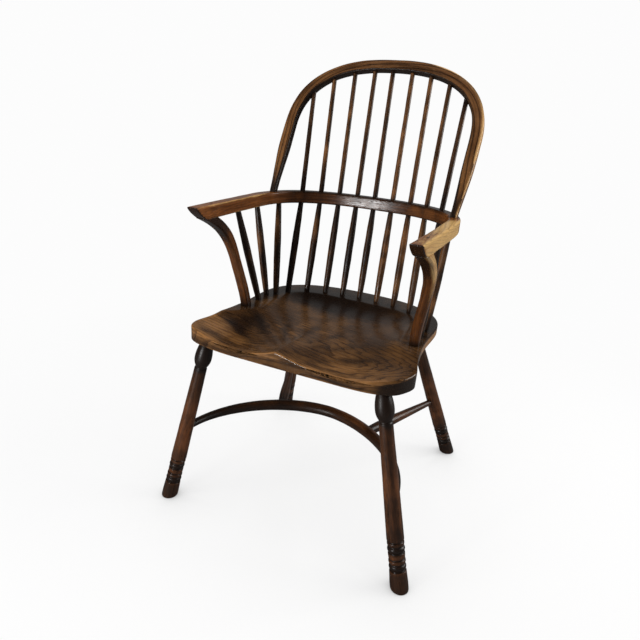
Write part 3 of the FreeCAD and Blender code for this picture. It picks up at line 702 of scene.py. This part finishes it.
def leg_profile(length):
    """Turned outline, and where its neck begins."""
    neck = length - 60.0
    bulb = length - 56.0
    widest = length - 36.0
    line = [(0.0, FOOT_RADIUS), (14.0, FOOT_RADIUS), (LOWER_RINGS, ANKLE_RADIUS)]
    line += ring_set(LOWER_RINGS)
    line += [(LOWER_RINGS + RING_SET, FLAT_RADIUS), (UPPER_RINGS, 16.6)]
    line += ring_set(UPPER_RINGS)
    line += [(TAPER_START, 17.2), (neck, NECK_RADIUS + 1.0), (neck, NECK_RADIUS), (bulb, NECK_RADIUS)]
    line += arc_points((bulb, NECK_RADIUS), (widest - 11.2, 16.5), (widest, BULB_RADIUS))
    line += arc_points((widest, BULB_RADIUS), (widest + 18.0, 16.8), (length, LEG_TOP_RADIUS))
    line += [(length + 6.0, LEG_TOP_RADIUS)]
    return np.array(line), neck


def stand_on_floor(loops, distance, foot, ahead):
    """Leg rings cut level at the floor, with a worn edge round the foot."""
    shift = -loops[0, :, 2] / ahead[2]
    share = 1 - ease(distance / 26.0)
    loops = loops + (shift[None, :] * share[:, None])[..., None] * ahead
    worn_foot = np.exp(-distance / 1.6) * 1.1
    middle = foot + distance[:, None] * ahead
    loops = loops + (middle[:, None, :] - loops) * (worn_foot / 18.0)[:, None, None]
    loops[..., 2] = np.maximum(loops[..., 2], 0.0)
    return loops


def make_leg(front, side):
    foot, top = leg_ends(front, side)
    line, neck = leg_profile(np.linalg.norm(top - foot))
    distance, radius = bars(line, 0.9, 0.75)
    seed = 11 + 3 * (side > 0) + 7 * front
    loops, grain, angle = turned_rings(foot, top, distance, radius, seed, 56)
    loops = stand_on_floor(loops, distance, foot, unit(top - foot))
    painted_shade = LEG_PAINTED_SHADE[front, side]
    # Darker in the grooves, on the beads, at the neck and bulb, at the foot and above the rings
    hollow = np.clip(15.4 - np.interp(distance, line[:, 0], line[:, 1]), 0, 1) * (distance < TAPER_START + 2)
    dark = painted_shade + 0.95 * hollow + 0.85 * ease((distance - neck + 14.0) / 16.0)
    dark += 0.8 * bump_at(distance, LOWER_RINGS + BEAD_MIDDLE, 7.0)
    dark += 0.8 * bump_at(distance, UPPER_RINGS + BEAD_MIDDLE, 7.0)
    dark += 0.42 * (1 - ease((distance - 34.0) / 10.0))
    dark += 0.25 * bump_at(distance, TAPER_START + 4.0, 12.0)
    wear_and_painted_light = 0.5 * ease((distance - TAPER_START) / 40.0) * (1 - ease((distance - neck + 110.0) / 90.0))
    wear_and_painted_light += 0.45 * bump_at(distance, UPPER_RINGS - RING_GAP / 2, 6.0)

    # Slow tones round the shaft, and a band of painted shade that winds a little up its right-front side
    around = angle[None, :]
    shaft = ease((distance - TAPER_START) / 20.0)[:, None]
    slow = 0.5 * waver(distance, seed, 300)[:, None]
    dark = dark[:, None] + 0.2 * shaft * np.cos(around - seed - slow)
    band = 5.3 + 0.12 * waver(distance, seed, 200)[:, None]
    away = np.abs((around - band + math.pi) % (2 * math.pi) - math.pi)
    depth = 0.6 if (front, side) == (True, 1) else 0.1
    dark += depth * shaft * bump_at(away, 0.0, 0.6)
    name = "leg_%s_%s" % ("front" if front else "rear", side_name(side))
    piece(name + "_turned", loops, grain, wear_and_painted_light[:, None] * (1 - 0.8 * painted_shade), dark, leg_wood,
          [name])


# Crinoline stretcher and spurs

CRINOLINE_Z = 181.0
CRINOLINE_CROWN = -7.5
CRINOLINE_POWER = 1.82
CRINOLINE_RADIUS = 13.2
CRINOLINE_END_RADIUS = 8.0
SPUR_X = 112.0
SPUR_LEG_Z = 174.5
SPUR_RADIUS = 11.8
SPUR_FRONT_RADIUS = 10.0
SPUR_END_RADIUS = 6.9


def leg_at(front, side, z):
    """Point on a leg's axis at a height."""
    foot, top = leg_ends(front, side)
    return foot + (top - foot) * (z / top[2])


def crinoline_numbers():
    """Middle and half width of the bow between the front legs, and how far forward its ends lie."""
    left = leg_at(True, -1, CRINOLINE_Z)
    right = leg_at(True, 1, CRINOLINE_Z)
    return (left[0] + right[0]) / 2, (right[0] - left[0]) / 2, right[1]


def make_crinoline():
    middle, half, end_y = crinoline_numbers()
    turn = np.radians(np.linspace(0, 180, 900))
    c = np.cos(turn)
    x = middle + half * np.sign(c) * np.abs(c) ** (2 / CRINOLINE_POWER)
    y = end_y + (CRINOLINE_CROWN - end_y) * np.abs(np.sin(turn)) ** (2 / CRINOLINE_POWER)
    line = resample(np.stack([x, y], axis=1), 200)
    s = lengths(line)
    share = np.clip(np.abs(line[:, 0] - middle) / half, 0, 1) ** (CRINOLINE_POWER / 2)
    radius = CRINOLINE_RADIUS + (CRINOLINE_END_RADIUS - CRINOLINE_RADIUS) * share ** 4
    radius = radius * (1 + 0.012 * waver(s, 21, 150))
    angle = np.linspace(0, 2 * math.pi, 40, endpoint=False)
    a = radius[:, None] * np.cos(angle)
    b = radius[:, None] * np.sin(angle)
    loops = np.stack([*beside_bow(line, a), CRINOLINE_Z + b], axis=-1)
    ends = np.minimum(s, s[-1] - s)
    # Painted highlight on the top of the bow right of the middle, a lighter top and painted shade underneath;
    # darker towards the ends
    painted_highlight = bump_at(line[:, 0], 70.0, 90.0)[:, None]
    dark = (0.62 + 0.3 * np.exp(-ends / 60.0))[:, None] + 0.2 * (1 - np.sin(angle))[None, :] - 0.35 * painted_highlight
    wear_and_painted_light = (0.12 + 0.4 * painted_highlight) * ease((np.sin(angle) - 0.1) / 0.8)[None, :]
    piece("crinoline_bow", loops, grain_at(a + 60, b - 40, s[:, None]), wear_and_painted_light, np.minimum(dark, 0.9),
          leg_wood, ["crinoline_stretcher"])


def make_spur(side):
    middle, half, end_y = crinoline_numbers()
    x = side * SPUR_X
    bow_y = bow_height(half, end_y, CRINOLINE_CROWN, CRINOLINE_POWER, x - middle)
    bow = np.array([x, bow_y, CRINOLINE_Z])
    leg = leg_at(False, side, SPUR_LEG_Z)
    length = np.linalg.norm(leg - bow)
    start = 9.2
    end = length - 12.9
    widest = start + 0.2 * (end - start)
    shoulder = 2 * widest - start
    line = [(start - 6, SPUR_FRONT_RADIUS), (start, SPUR_FRONT_RADIUS)]
    line += arc_points((start, SPUR_FRONT_RADIUS), (widest, SPUR_RADIUS), (shoulder, 11.0))
    line += [(end, SPUR_END_RADIUS), (end + 6, SPUR_END_RADIUS)]
    distance, radius = bars(np.array(line), 1.6, 1.6)
    loops, grain, _ = turned_rings(bow, leg, distance, radius, 40 + side, 40)
    dark = 0.3 + 0.5 * np.exp(-(distance - start) / 18.0) + 0.4 * np.exp(-(end - distance) / 12.0)
    wear_and_painted_light = 0.3 * bump_at(distance, length * 0.5, 70.0)
    name = "spur_stretcher_" + side_name(side)
    piece(name + "_shaft", loops, grain, wear_and_painted_light[:, None], dark[:, None], leg_wood, [name])


# Arm bow and supports

NOSE_SLANT = 35.0
NOSE_BELLY = 16.0
CROOK_Z = 532.5
CROOK_REACH = 67.0
SUPPORT_RAKE = 0.217
SUPPORT_WIDTH = 21.0
SUPPORT_HEAD_WIDTH = 25.0
SUPPORT_DEPTH = 19.5


def arm_nose_y(z):
    """Where the slanted, slightly bellied end of the arm lies at a height."""
    t = np.clip((z - ARM_UNDER) / (ARM_TOP - ARM_UNDER), 0, 1)
    return ARM_TIP + NOSE_SLANT * (1 - t) - NOSE_BELLY * t * (1 - t)


def arm_side_x(y):
    """Half width of the arm bow's centre line at a place between its tip and its crown."""
    half_width, centre, crown, power = ARM_BOW
    if y < centre:
        share = (centre - y) / (centre - ARM_TIP)
        return half_width + (ARM_TIP_HALF - half_width) * share ** 2
    return half_width * (1.0 - ((y - centre) / (crown - centre)) ** power) ** (1 / power)


def arm_end_rings(base, grain, along):
    """Rings that round and close the end of the arm over its slanted face."""
    reach = 3.0
    turns = np.radians(np.linspace(0, 90, 5)[1:])
    steps = [(reach * (1 - math.cos(turn)), reach * math.sin(turn) - reach) for turn in turns]
    steps += [(inset, 0.0) for inset in (4.5, 7.0, 9.5, 11.5)]
    middle_x = base[:, 0].mean()
    rings = []
    grains = []
    for inset, forward in steps:
        shrink = 1 - inset / 12.5
        x = middle_x + (base[:, 0] - middle_x) * shrink
        z = ARM_MIDDLE + (base[:, 2] - ARM_MIDDLE) * (1 - inset / 14.0)
        rings.append(np.stack([x, arm_nose_y(z) - forward * 0.8, z], axis=1))
        grains.append(grain * [shrink, shrink, 1.0] + [0.0, 0.0, along])
    return np.array(rings), np.array(grains)


def arm_tones(loops, a, on_end):
    """Wear of the arm with painted light and shade: golden on the hands' rests, painted light on faces turned
    to the right, darker towards the back, dark at the joints and ends, painted shade underneath.
    """
    x, y, z = np.moveaxis(loops, -1, 0)
    up = ease((z - 668.0) / 4.5)
    outside = ease((np.abs(x) - 205.0) / 15.0) * ease((60.0 - y) / 60.0)
    outer = ease((a - 8.0) / 4.0)
    inner = ease((-a - 8.0) / 4.0)
    right = ease(x / 30.0)
    wear_and_painted_light = 0.55 * SECTION_EDGE[None, :] * (0.6 + 0.4 * outside)
    # Hands' rests: wear, with painted light making the right arm's top paler
    wear_and_painted_light += outside * up * ((0.4 + 0.42 * ease((y + 190.0) / 130.0)) * right + 0.12 * (1 - right))
    # Outer faces worn, the right arm's much paler with painted light
    wear_and_painted_light += outside * outer * (0.85 * right + 0.25 * (1 - right))
    # Painted light on the left arm's inner face, which faces right
    wear_and_painted_light += outside * inner * 0.5 * (1 - right)
    dark = 0.02 + 0.54 * ease((y - 20.0) / 90.0)
    dark += 0.85 * on_end * (1 - 0.45 * outer * right)
    tip = np.exp(-np.abs(y - arm_nose_y(z)) / 9.0) * (y < -150)
    dark += 0.65 * tip
    for side in (-1, 1):
        dark += 0.75 * spot(x, y, side * HOOP_FOOT_HALF, HOOP_FOOT_Y, 13.0) * up
    for stick_x in STICK_ARM_X:
        dark += 0.5 * spot(x, y, stick_x, bow_height(*ARM_BOW, stick_x), 9.5)
    dark += 0.3 * ease((y - 60.0) / 60.0) * up
    # Painted shade on the underside
    dark += 0.35 * ease((650.0 - z) / 5.0)
    wear_and_painted_light = wear_and_painted_light * (1 - 0.9 * on_end) * (1 - np.clip(tip, 0, 1) * 0.7)
    return wear_and_painted_light, dark


def make_arm():
    count = 420
    line = bow_path(*ARM_BOW, ARM_TIP_HALF, ARM_TIP, count)
    s = lengths(line)
    width = ARM_WIDTH + 0.35 * waver(s, 31, 240)
    depth = np.full(count, ARM_TOP - ARM_UNDER)
    radius = np.clip(3.6 + 0.8 * waver(s, 33, 150), 2.6, 5.0)
    a, b = section_points(width, depth, radius)
    loops = np.stack([*beside_bow(line, a), ARM_MIDDLE + b], axis=-1)
    for far in (s, s[-1] - s):
        share = np.clip(1 - far / 70.0, 0, 1)[:, None]
        loops[..., 1] = loops[..., 1] + (arm_nose_y(loops[..., 2]) - ARM_TIP) * share
    grain = grain_at(a, b, s[:, None])
    first, first_grain = arm_end_rings(loops[0], grain[0], -2.0)
    last, last_grain = arm_end_rings(loops[-1], grain[-1], 2.0)
    loops[[0, -1], :, 1] += 2.4
    extra = len(first)
    loops = np.concatenate([first[::-1], loops, last])
    grain = np.concatenate([first_grain[::-1], grain, last_grain])
    on_end = np.ones((len(loops), 1))
    on_end[extra:-extra] = 0.0
    wear_and_painted_light, dark = arm_tones(loops, np.pad(a, ((extra, extra), (0, 0)), mode="edge"), on_end)
    piece("arm_bow_bent", loops, grain, wear_and_painted_light, dark, arm_wood, ["arm_bow"])


def make_support(side):
    foot_x, foot_y = SUPPORT_FOOT
    height = ARM_UNDER - SEAT_TOP
    z = np.linspace(SEAT_TOP - 3.0, ARM_UNDER + 2.0, 110)
    rise = ARM_UNDER - CROOK_Z
    t = np.clip((z - CROOK_Z) / rise, 0, 1.02)
    climb = z - SEAT_TOP
    y = foot_y - SUPPORT_RAKE * climb - CROOK_REACH * t ** 3
    slope = SUPPORT_RAKE + 3 * CROOK_REACH * t ** 2 / rise
    head_y = foot_y - SUPPORT_RAKE * height - CROOK_REACH
    x = foot_x + (arm_side_x(head_y) - foot_x) * ease(climb / (0.8 * height))
    width = SUPPORT_WIDTH + (SUPPORT_HEAD_WIDTH - SUPPORT_WIDTH) * ease(t) + 0.3 * waver(z, 50 + side, 90)
    tilt = np.hypot(1.0, slope)
    tall = lengths(np.stack([x, y, z], axis=1))
    radius = np.clip(6.0 + 0.6 * waver(z, 52 + side, 120), 4.5, 8.0)
    a, b = section_points(width, SUPPORT_DEPTH * tilt, radius)
    edge = SECTION_EDGE
    if side < 0:
        a = a[:, ::-1]
        b = b[:, ::-1]
        edge = edge[::-1]
    loops = np.stack([side * (x[:, None] + a), y[:, None] + b, np.broadcast_to(z[:, None], a.shape)], axis=-1)
    grain = grain_at(a + 90 * side, b / tilt[:, None], tall[:, None])
    outer = ease((a - 2.0) / 8.0)
    front = ease((-b - 3.0) / 8.0)
    # Painted light on the upper outer face of the right support
    painted_light = ease((z - 520.0) / 90.0)[:, None] * (side > 0)
    wear_and_painted_light = 0.08 * edge[None, :] + outer * (0.05 + 0.55 * painted_light)
    wear_and_painted_light += 0.14 * bump_at(z, 560.0, 60.0)[:, None]
    # Dark where it meets the seat, darker near the top under the arm and on the upper front face
    dark = 0.55 * np.exp(-climb / 9.0)[:, None] + 0.4 * ease((z - 600.0) / 40.0)[:, None] * (1 - outer)
    dark += 0.35 * front * ease((z - 560.0) / 60.0)[:, None] + 0.52 - 0.3 * outer * painted_light
    name = "arm_support_" + side_name(side)
    piece(name + "_crook", loops, grain, wear_and_painted_light, dark, arm_wood, [name])


def make_peg(side):
    """Peg driven through the arm into its support, its head a little proud."""
    y = ARM_TIP + 66.0
    start = np.array([side * arm_side_x(y), y, ARM_TOP])
    distance = np.array([-36.0, -20.0, -6.0, -1.0, 0.0, 0.25, 0.42, 0.5])
    radius = np.array([3.2, 3.2, 3.2, 3.2, 3.1, 2.8, 2.0, 0.9])
    loops, grain, _ = turned_rings(start, start + [0, 0, 1.0], distance, radius, 60 + side, 20)
    name = "arm_peg_" + side_name(side)
    piece(name + "_head", loops, grain, 0.1, 0.85, arm_wood, [name])


# Back hoop

HOOP_WIDTH = 24.5
HOOP_DEPTH = 18.0
HOOP_FOOT_WIDTH = 14.5
HOOP_FOOT_DEPTH = 14.0
HOOP_TAPER = 120.0
HOOP_SUNK = 9.0


def hoop_place(u, v, w):
    """Point of the leaning hoop: u across, v up the slope, w out of its plane to the front."""
    y = HOOP_FOOT_Y + v * LEAN / SLOPE - w / SLOPE
    z = ARM_TOP + v / SLOPE + w * LEAN / SLOPE
    return np.stack([u, y, z], axis=-1)


def make_hoop():
    line = bow_path(*HOOP_BOW, HOOP_FOOT_HALF, 0.0, 460)
    line = np.concatenate([[[line[0, 0], -HOOP_SUNK]], line, [[line[-1, 0], -HOOP_SUNK]]])
    s = lengths(line)
    v = line[:, 1]
    width = HOOP_FOOT_WIDTH + (HOOP_WIDTH - HOOP_FOOT_WIDTH) * ease(v / HOOP_TAPER) + 0.4 * waver(s, 71, 200)
    depth = HOOP_FOOT_DEPTH + (HOOP_DEPTH - HOOP_FOOT_DEPTH) * np.clip(v / HOOP_TAPER, 0, 1)
    radius = np.clip(3.2 + 0.7 * waver(s, 73, 160), 2.2, 4.5)
    a, b = section_points(width, depth, radius)
    loops = hoop_place(*beside_bow(line, a), b)
    outer = ease((a - width[:, None] / 2 + 5.0) / 4.0)
    soffit = ease((-a - width[:, None] / 2 + 4.5) / 3.0)
    front = ease((b - 4.0) / 4.0)
    right = ease((line[:, 0, None] - 60.0) / 60.0)
    climb = 0.3 + 0.7 * ease((v[:, None] - 60.0) / 110.0)
    # Arrises and outer face paler on the right with painted light, and the front face worn
    wear_and_painted_light = SECTION_EDGE[None, :] * (0.1 + 0.32 * right) + 0.72 * outer * right * climb + 0.16 * front
    low = bump_at(np.maximum(v, 0)[:, None], 0.0, 62.0)
    # Painted shade on the soffit, the left outer face and the left back face; darker near the feet, and dark
    # where the sticks enter
    dark = 0.85 * soffit + 0.8 * low * (1 - 0.8 * outer * right)
    dark += 0.55 * outer * (1 - right) + 0.2 * (1 - front) * (1 - right)
    for stick_x in STICK_HOOP_X:
        near = spot(line[:, 0], line[:, 1], stick_x, bow_height(*HOOP_BOW, stick_x), 12.0)
        dark += 0.5 * soffit * near[:, None]
    piece("back_hoop_bent", loops, grain_at(a, b, s[:, None]), wear_and_painted_light, dark, hoop_wood,
          ["back_hoop"])


def make_wedge(side):
    """Hoop tenon's end under the arm with the wedge that spreads it."""
    foot_y = HOOP_FOOT_Y - (ARM_TOP - ARM_UNDER) * LEAN
    z = np.array([-0.3, -0.25, 0.0, 0.5, 4.0, 10.0])[:, None]
    scale = np.array([0.4, 0.8, 0.96, 1.0, 0.9, 0.6])[:, None]
    a, b = section_points(np.full(6, 10.6), np.full(6, 2.4), np.full(6, 0.4))
    x = side * HOOP_FOOT_HALF + a * scale
    y = foot_y + b * scale + LEAN * np.maximum(z, 0)
    loops = np.stack(np.broadcast_arrays(x, y, ARM_UNDER + z), axis=-1)
    name = "hoop_wedge_" + side_name(side)
    piece(name + "_end", loops, grain_at(a, b, z), 0.3, 0.4, arm_wood, [name])


# Sticks

STICK_SEAT_RADIUS = 6.3
STICK_BELLY_RADIUS = 8.2
STICK_ARM_RADIUS = 5.9
STICK_TOP_RADIUS = 5.1
STICK_SUNK = 8.0
BORE_HALF = 16.0


def stick_radius(share):
    """Radius from the seat to the arm, fullest halfway."""
    taper = STICK_SEAT_RADIUS + (STICK_ARM_RADIUS - STICK_SEAT_RADIUS) * share
    belly = STICK_BELLY_RADIUS - (STICK_SEAT_RADIUS + STICK_ARM_RADIUS) / 2
    return taper + belly * 4 * share * (1 - share)


def make_stick(line, radius, seed, name, dark_at, painted_shade):
    """Hand-shaved stick along a line of points, its last argument the painted shade on the part below the
    arm.
    """
    s = lengths(line)
    rng = np.random.default_rng(seed)
    angle = np.linspace(0, 2 * math.pi, 28, endpoint=False)
    facets = 1 + 0.02 * np.cos(7 * angle[None, :] + 2.0 * waver(s, seed + 1, 300)[:, None])
    r = radius[:, None] * facets * (1 + 0.025 * waver(s, seed + 2, 110)[:, None])
    a = r * np.cos(angle)
    b = r * np.sin(angle)
    loops = rings_about(line, unit(np.gradient(line, axis=0)), a, b)
    offset = rng.uniform(-300, 300, 3)
    grain = grain_at(a + offset[0], b + offset[1], s[:, None] + offset[2])
    z = line[:, 2]
    dark = 0.26 + 0.3 * waver(s, seed + 3, 190) + painted_shade * (z < ARM_TOP)
    for height in dark_at:
        dark += 0.6 * np.exp(-np.abs(z - height) / 16.0)
    worn_side = rng.uniform(0.5, 1.5) * math.pi + 0.6 * waver(s, seed + 6, 240)[:, None]
    turned = np.cos(angle[None, :] - worn_side)
    dark = dark[:, None] - 0.3 * turned
    wear_and_painted_light = 0.25 + 0.25 * waver(s, seed + 4, 120)[:, None] + 0.2 * turned
    piece(name + "_shaved", loops, grain, wear_and_painted_light, dark, stick_wood, [name])


def make_long_stick(order):
    """Stick from the seat through the arm bow, where it bends a little, into the hoop."""
    seat = np.array([*STICK_SEAT[order], SEAT_TOP])
    x = STICK_ARM_X[order]
    arm = np.array([x, bow_height(*ARM_BOW, x), ARM_MIDDLE])
    u = STICK_HOOP_X[order]
    hoop = hoop_place(u, bow_height(*HOOP_BOW, u), 0.0)
    low = unit(arm - seat)
    high = unit(hoop - arm)
    reach = np.linalg.norm(arm - seat)
    over = np.linalg.norm(hoop - arm) - STICK_SUNK
    s = np.linspace(-STICK_SUNK, reach + over, 130)
    line = np.where((s < reach)[:, None], seat + low * s[:, None], arm + high * (s - reach)[:, None])
    line = line + bump_at(s, reach, 14.0)[:, None] * (unit(high - low + 1e-9) * 0.25)
    lower = stick_radius(np.clip(s / (reach - BORE_HALF), 0, 1))
    share = np.clip((s - reach - BORE_HALF) / (over - 30.0), 0, 1)
    upper = STICK_ARM_RADIUS + (STICK_TOP_RADIUS - STICK_ARM_RADIUS) * share
    radius = np.where(s < reach - BORE_HALF, lower, upper)
    # Painted shade below the arm, deeper on the left sticks
    painted_shade = 0.28 * (order < 4) + 0.16
    make_stick(line, radius, 100 + 7 * order, "back_stick_%d" % (order + 1),
               (SEAT_TOP, ARM_UNDER, ARM_TOP, hoop[2] - 8.0), painted_shade)


def make_side_stick(order, side):
    x, y = SIDE_SEAT[order]
    seat = np.array([side * x, y, SEAT_TOP])
    arm_y = SIDE_ARM_Y[order]
    arm = np.array([side * (arm_side_x(arm_y) - 3.0), arm_y, ARM_UNDER])
    reach = np.linalg.norm(arm - seat)
    s = np.linspace(-STICK_SUNK, reach + 6.0, 80)
    line = seat + unit(arm - seat) * s[:, None]
    # The last number is painted shade on the whole stick
    make_stick(line, stick_radius(np.clip(s / reach, 0, 1)), 200 + 11 * order + side,
               "side_stick_%s_%d" % (side_name(side), order + 1), (SEAT_TOP, ARM_UNDER), 0.3)


make_seat()
make_arm()
make_hoop()
make_crinoline()
for side in (-1, 1):
    for front in (True, False):
        make_leg(front, side)
    make_spur(side)
    make_support(side)
    make_peg(side)
    make_wedge(side)
    for order in range(len(SIDE_SEAT)):
        make_side_stick(order, side)
for order in range(len(STICK_SEAT)):
    make_long_stick(order)


# Floor, light and camera

# Brightness of the paper and the backdrop as the camera sees them
WHITE = 0.975
FLOOR_HALF = 9.0
FLOOR_DROP = 0.0004
SHADOW_REACH = 0.16


def make_floor():
    """White paper: it glows for the camera, but for a contact shadow, and is dull for other rays."""
    size = FLOOR_HALF
    mesh = bpy.data.meshes.new("floor")
    mesh.from_pydata([(-size, -size, 0), (size, -size, 0), (size, size, 0), (-size, size, 0)], [],
                     [(0, 1, 2, 3)])
    floor = put_in_scene("floor", mesh)
    floor.location.z = -FLOOR_DROP
    material = bpy.data.materials.new("floor_paper")
    material.use_nodes = True
    n = Nodes(material)
    shader = n.tree.nodes["Principled BSDF"]
    place = n.add("NewGeometry").outputs["Position"]
    cloud = n.ramp(n.noise(place, 0.9, 2.0, 0.5), 0.3, 0.7)
    path = n.add("LightPath")
    tint = n.mix(cloud, (0.52, 0.52, 0.53, 1.0), (0.56, 0.56, 0.56, 1.0))
    tint = n.mix(path.outputs["Is Glossy Ray"], tint, (0.15, 0.15, 0.15, 1.0))
    paper = n.mix(cloud, (0.95, 0.95, 0.955, 1.0), (0.97, 0.97, 0.97, 1.0))
    n.link(n.mix(path.outputs["Is Camera Ray"], tint, paper), shader.inputs["Base Color"])
    shader.inputs["Roughness"].default_value = 0.9
    shader.inputs["Specular IOR Level"].default_value = 0.1
    nearby = n.add("AmbientOcclusion", {"Distance": SHADOW_REACH}, samples=8, only_local=False)
    strength = n.ramp(nearby.outputs["AO"], 0.3, 1.0, 0.5, WHITE)
    glow = n.add("Emission", {"Color": (1.0, 1.0, 1.0, 1.0), "Strength": strength})
    away = n.add("VectorMath", {0: place}, operation="LENGTH").outputs["Value"]
    lift = n.math("MULTIPLY", path.outputs["Is Camera Ray"], n.ramp(away, 0.4, 1.5, 0.8, 1.0))
    lifted = n.add("MixShader", {0: lift, 1: shader.outputs[0], 2: glow.outputs[0]})
    n.link(lifted.outputs[0], n.tree.nodes["Material Output"].inputs["Surface"])
    mesh.materials.append(material)


def make_world():
    """White backdrop for the camera; for the light, bright at the back right and dark in front."""
    world = bpy.data.worlds.new("studio")
    bpy.context.scene.world = world
    world.use_nodes = True
    n = Nodes(world)
    background = n.tree.nodes["Background"]
    direction = n.add("TexCoord").outputs["Generated"]
    path = n.add("LightPath")

    def towards(aim):
        dot = n.add("VectorMath", {0: direction, 1: aim}, operation="DOT_PRODUCT")
        return dot.outputs["Value"]

    def choose(ray, otherwise, value):
        share = path.outputs[ray]
        return n.products(n.math("SUBTRACT", 1.0, share), otherwise, share, value)

    lit = n.ramp(towards((0.62, 0.66, 0.42)), -0.5, 0.8, 0.06, 0.5)
    mirrored = n.ramp(towards((-0.316, 0.894, 0.317)), 0.84, 0.985, 0.02, 0.24)
    level = choose("Is Glossy Ray", lit, mirrored)
    background.inputs["Color"].default_value = (1.0, 1.0, 1.0, 1.0)
    n.link(choose("Is Camera Ray", level, WHITE), background.inputs["Strength"])


def area(name, place, aim, size, power, colour=(1.0, 1.0, 1.0), gloss=True):
    """Rectangular lamp aimed at a point; gloss says whether it shows in the polish."""
    light = bpy.data.lights.new(name, "AREA")
    light.shape = "RECTANGLE"
    light.size, light.size_y = size
    light.energy = power
    light.color = colour
    obj = put_in_scene(name, light)
    obj.location = place
    obj.rotation_euler = (Vector(aim) - Vector(place)).to_track_quat("-Z", "Y").to_euler()
    obj.visible_glossy = gloss


make_floor()
make_world()
area("key_right", (2.1, 1.05, 1.35), (0.0, 0.0, 0.5), (1.4, 1.4), 44.0, (1.0, 0.985, 0.96))
area("top_soft", (-0.4, 0.2, 2.6), (0.0, 0.0, 0.4), (2.0, 2.0), 24.0, gloss=False)
area("front_fill", (-1.5, -2.3, 1.5), (0.0, 0.0, 0.45), (2.0, 1.4), 30.0, gloss=False)
area("glint_low", (-0.65, -2.08, 0.30), (0.05, 0.15, 0.66), (0.22, 0.16), 17.0)
area("glint_high", (-1.3, -1.5, 1.9), (0.0, -0.2, 0.3), (0.3, 0.3), 1.5)


# Camera of the photograph: angles in degrees, its aim and distance in metres, lens in pixels
CAMERA_TURN = (23.9448, 21.3172, 4.0332)
CAMERA_AIM = (0.0, -0.10405, 0.45054)
CAMERA_DISTANCE = 1.1601118
FOCAL_PIXELS = 553.8529
PHOTO_PIXELS = 640.0
PHOTO_CENTRE = (319.0044, 320.0485)
SENSOR = 36.0


def make_camera():
    azimuth, elevation, roll = map(math.radians, CAMERA_TURN)
    back = Vector((math.sin(azimuth) * math.cos(elevation), -math.cos(azimuth) * math.cos(elevation),
                   math.sin(elevation)))
    level = Vector((math.cos(azimuth), math.sin(azimuth), 0.0))
    rise = back.cross(level)
    right = level * math.cos(roll) + rise * math.sin(roll)
    up = rise * math.cos(roll) - level * math.sin(roll)
    place = Vector(CAMERA_AIM) + back * CAMERA_DISTANCE
    data = bpy.data.cameras.new("camera")
    data.sensor_width = SENSOR
    data.lens = FOCAL_PIXELS / PHOTO_PIXELS * SENSOR
    data.shift_x = (PHOTO_PIXELS / 2 - PHOTO_CENTRE[0]) / PHOTO_PIXELS
    data.shift_y = (PHOTO_CENTRE[1] - PHOTO_PIXELS / 2) / PHOTO_PIXELS
    data.clip_start = 0.02
    camera = put_in_scene("camera", data)
    camera.matrix_world = Matrix((*zip(right, up, back, place), (0, 0, 0, 1)))
    bpy.context.scene.camera = camera


make_camera()
bpy.context.scene.view_settings.view_transform = "Standard"
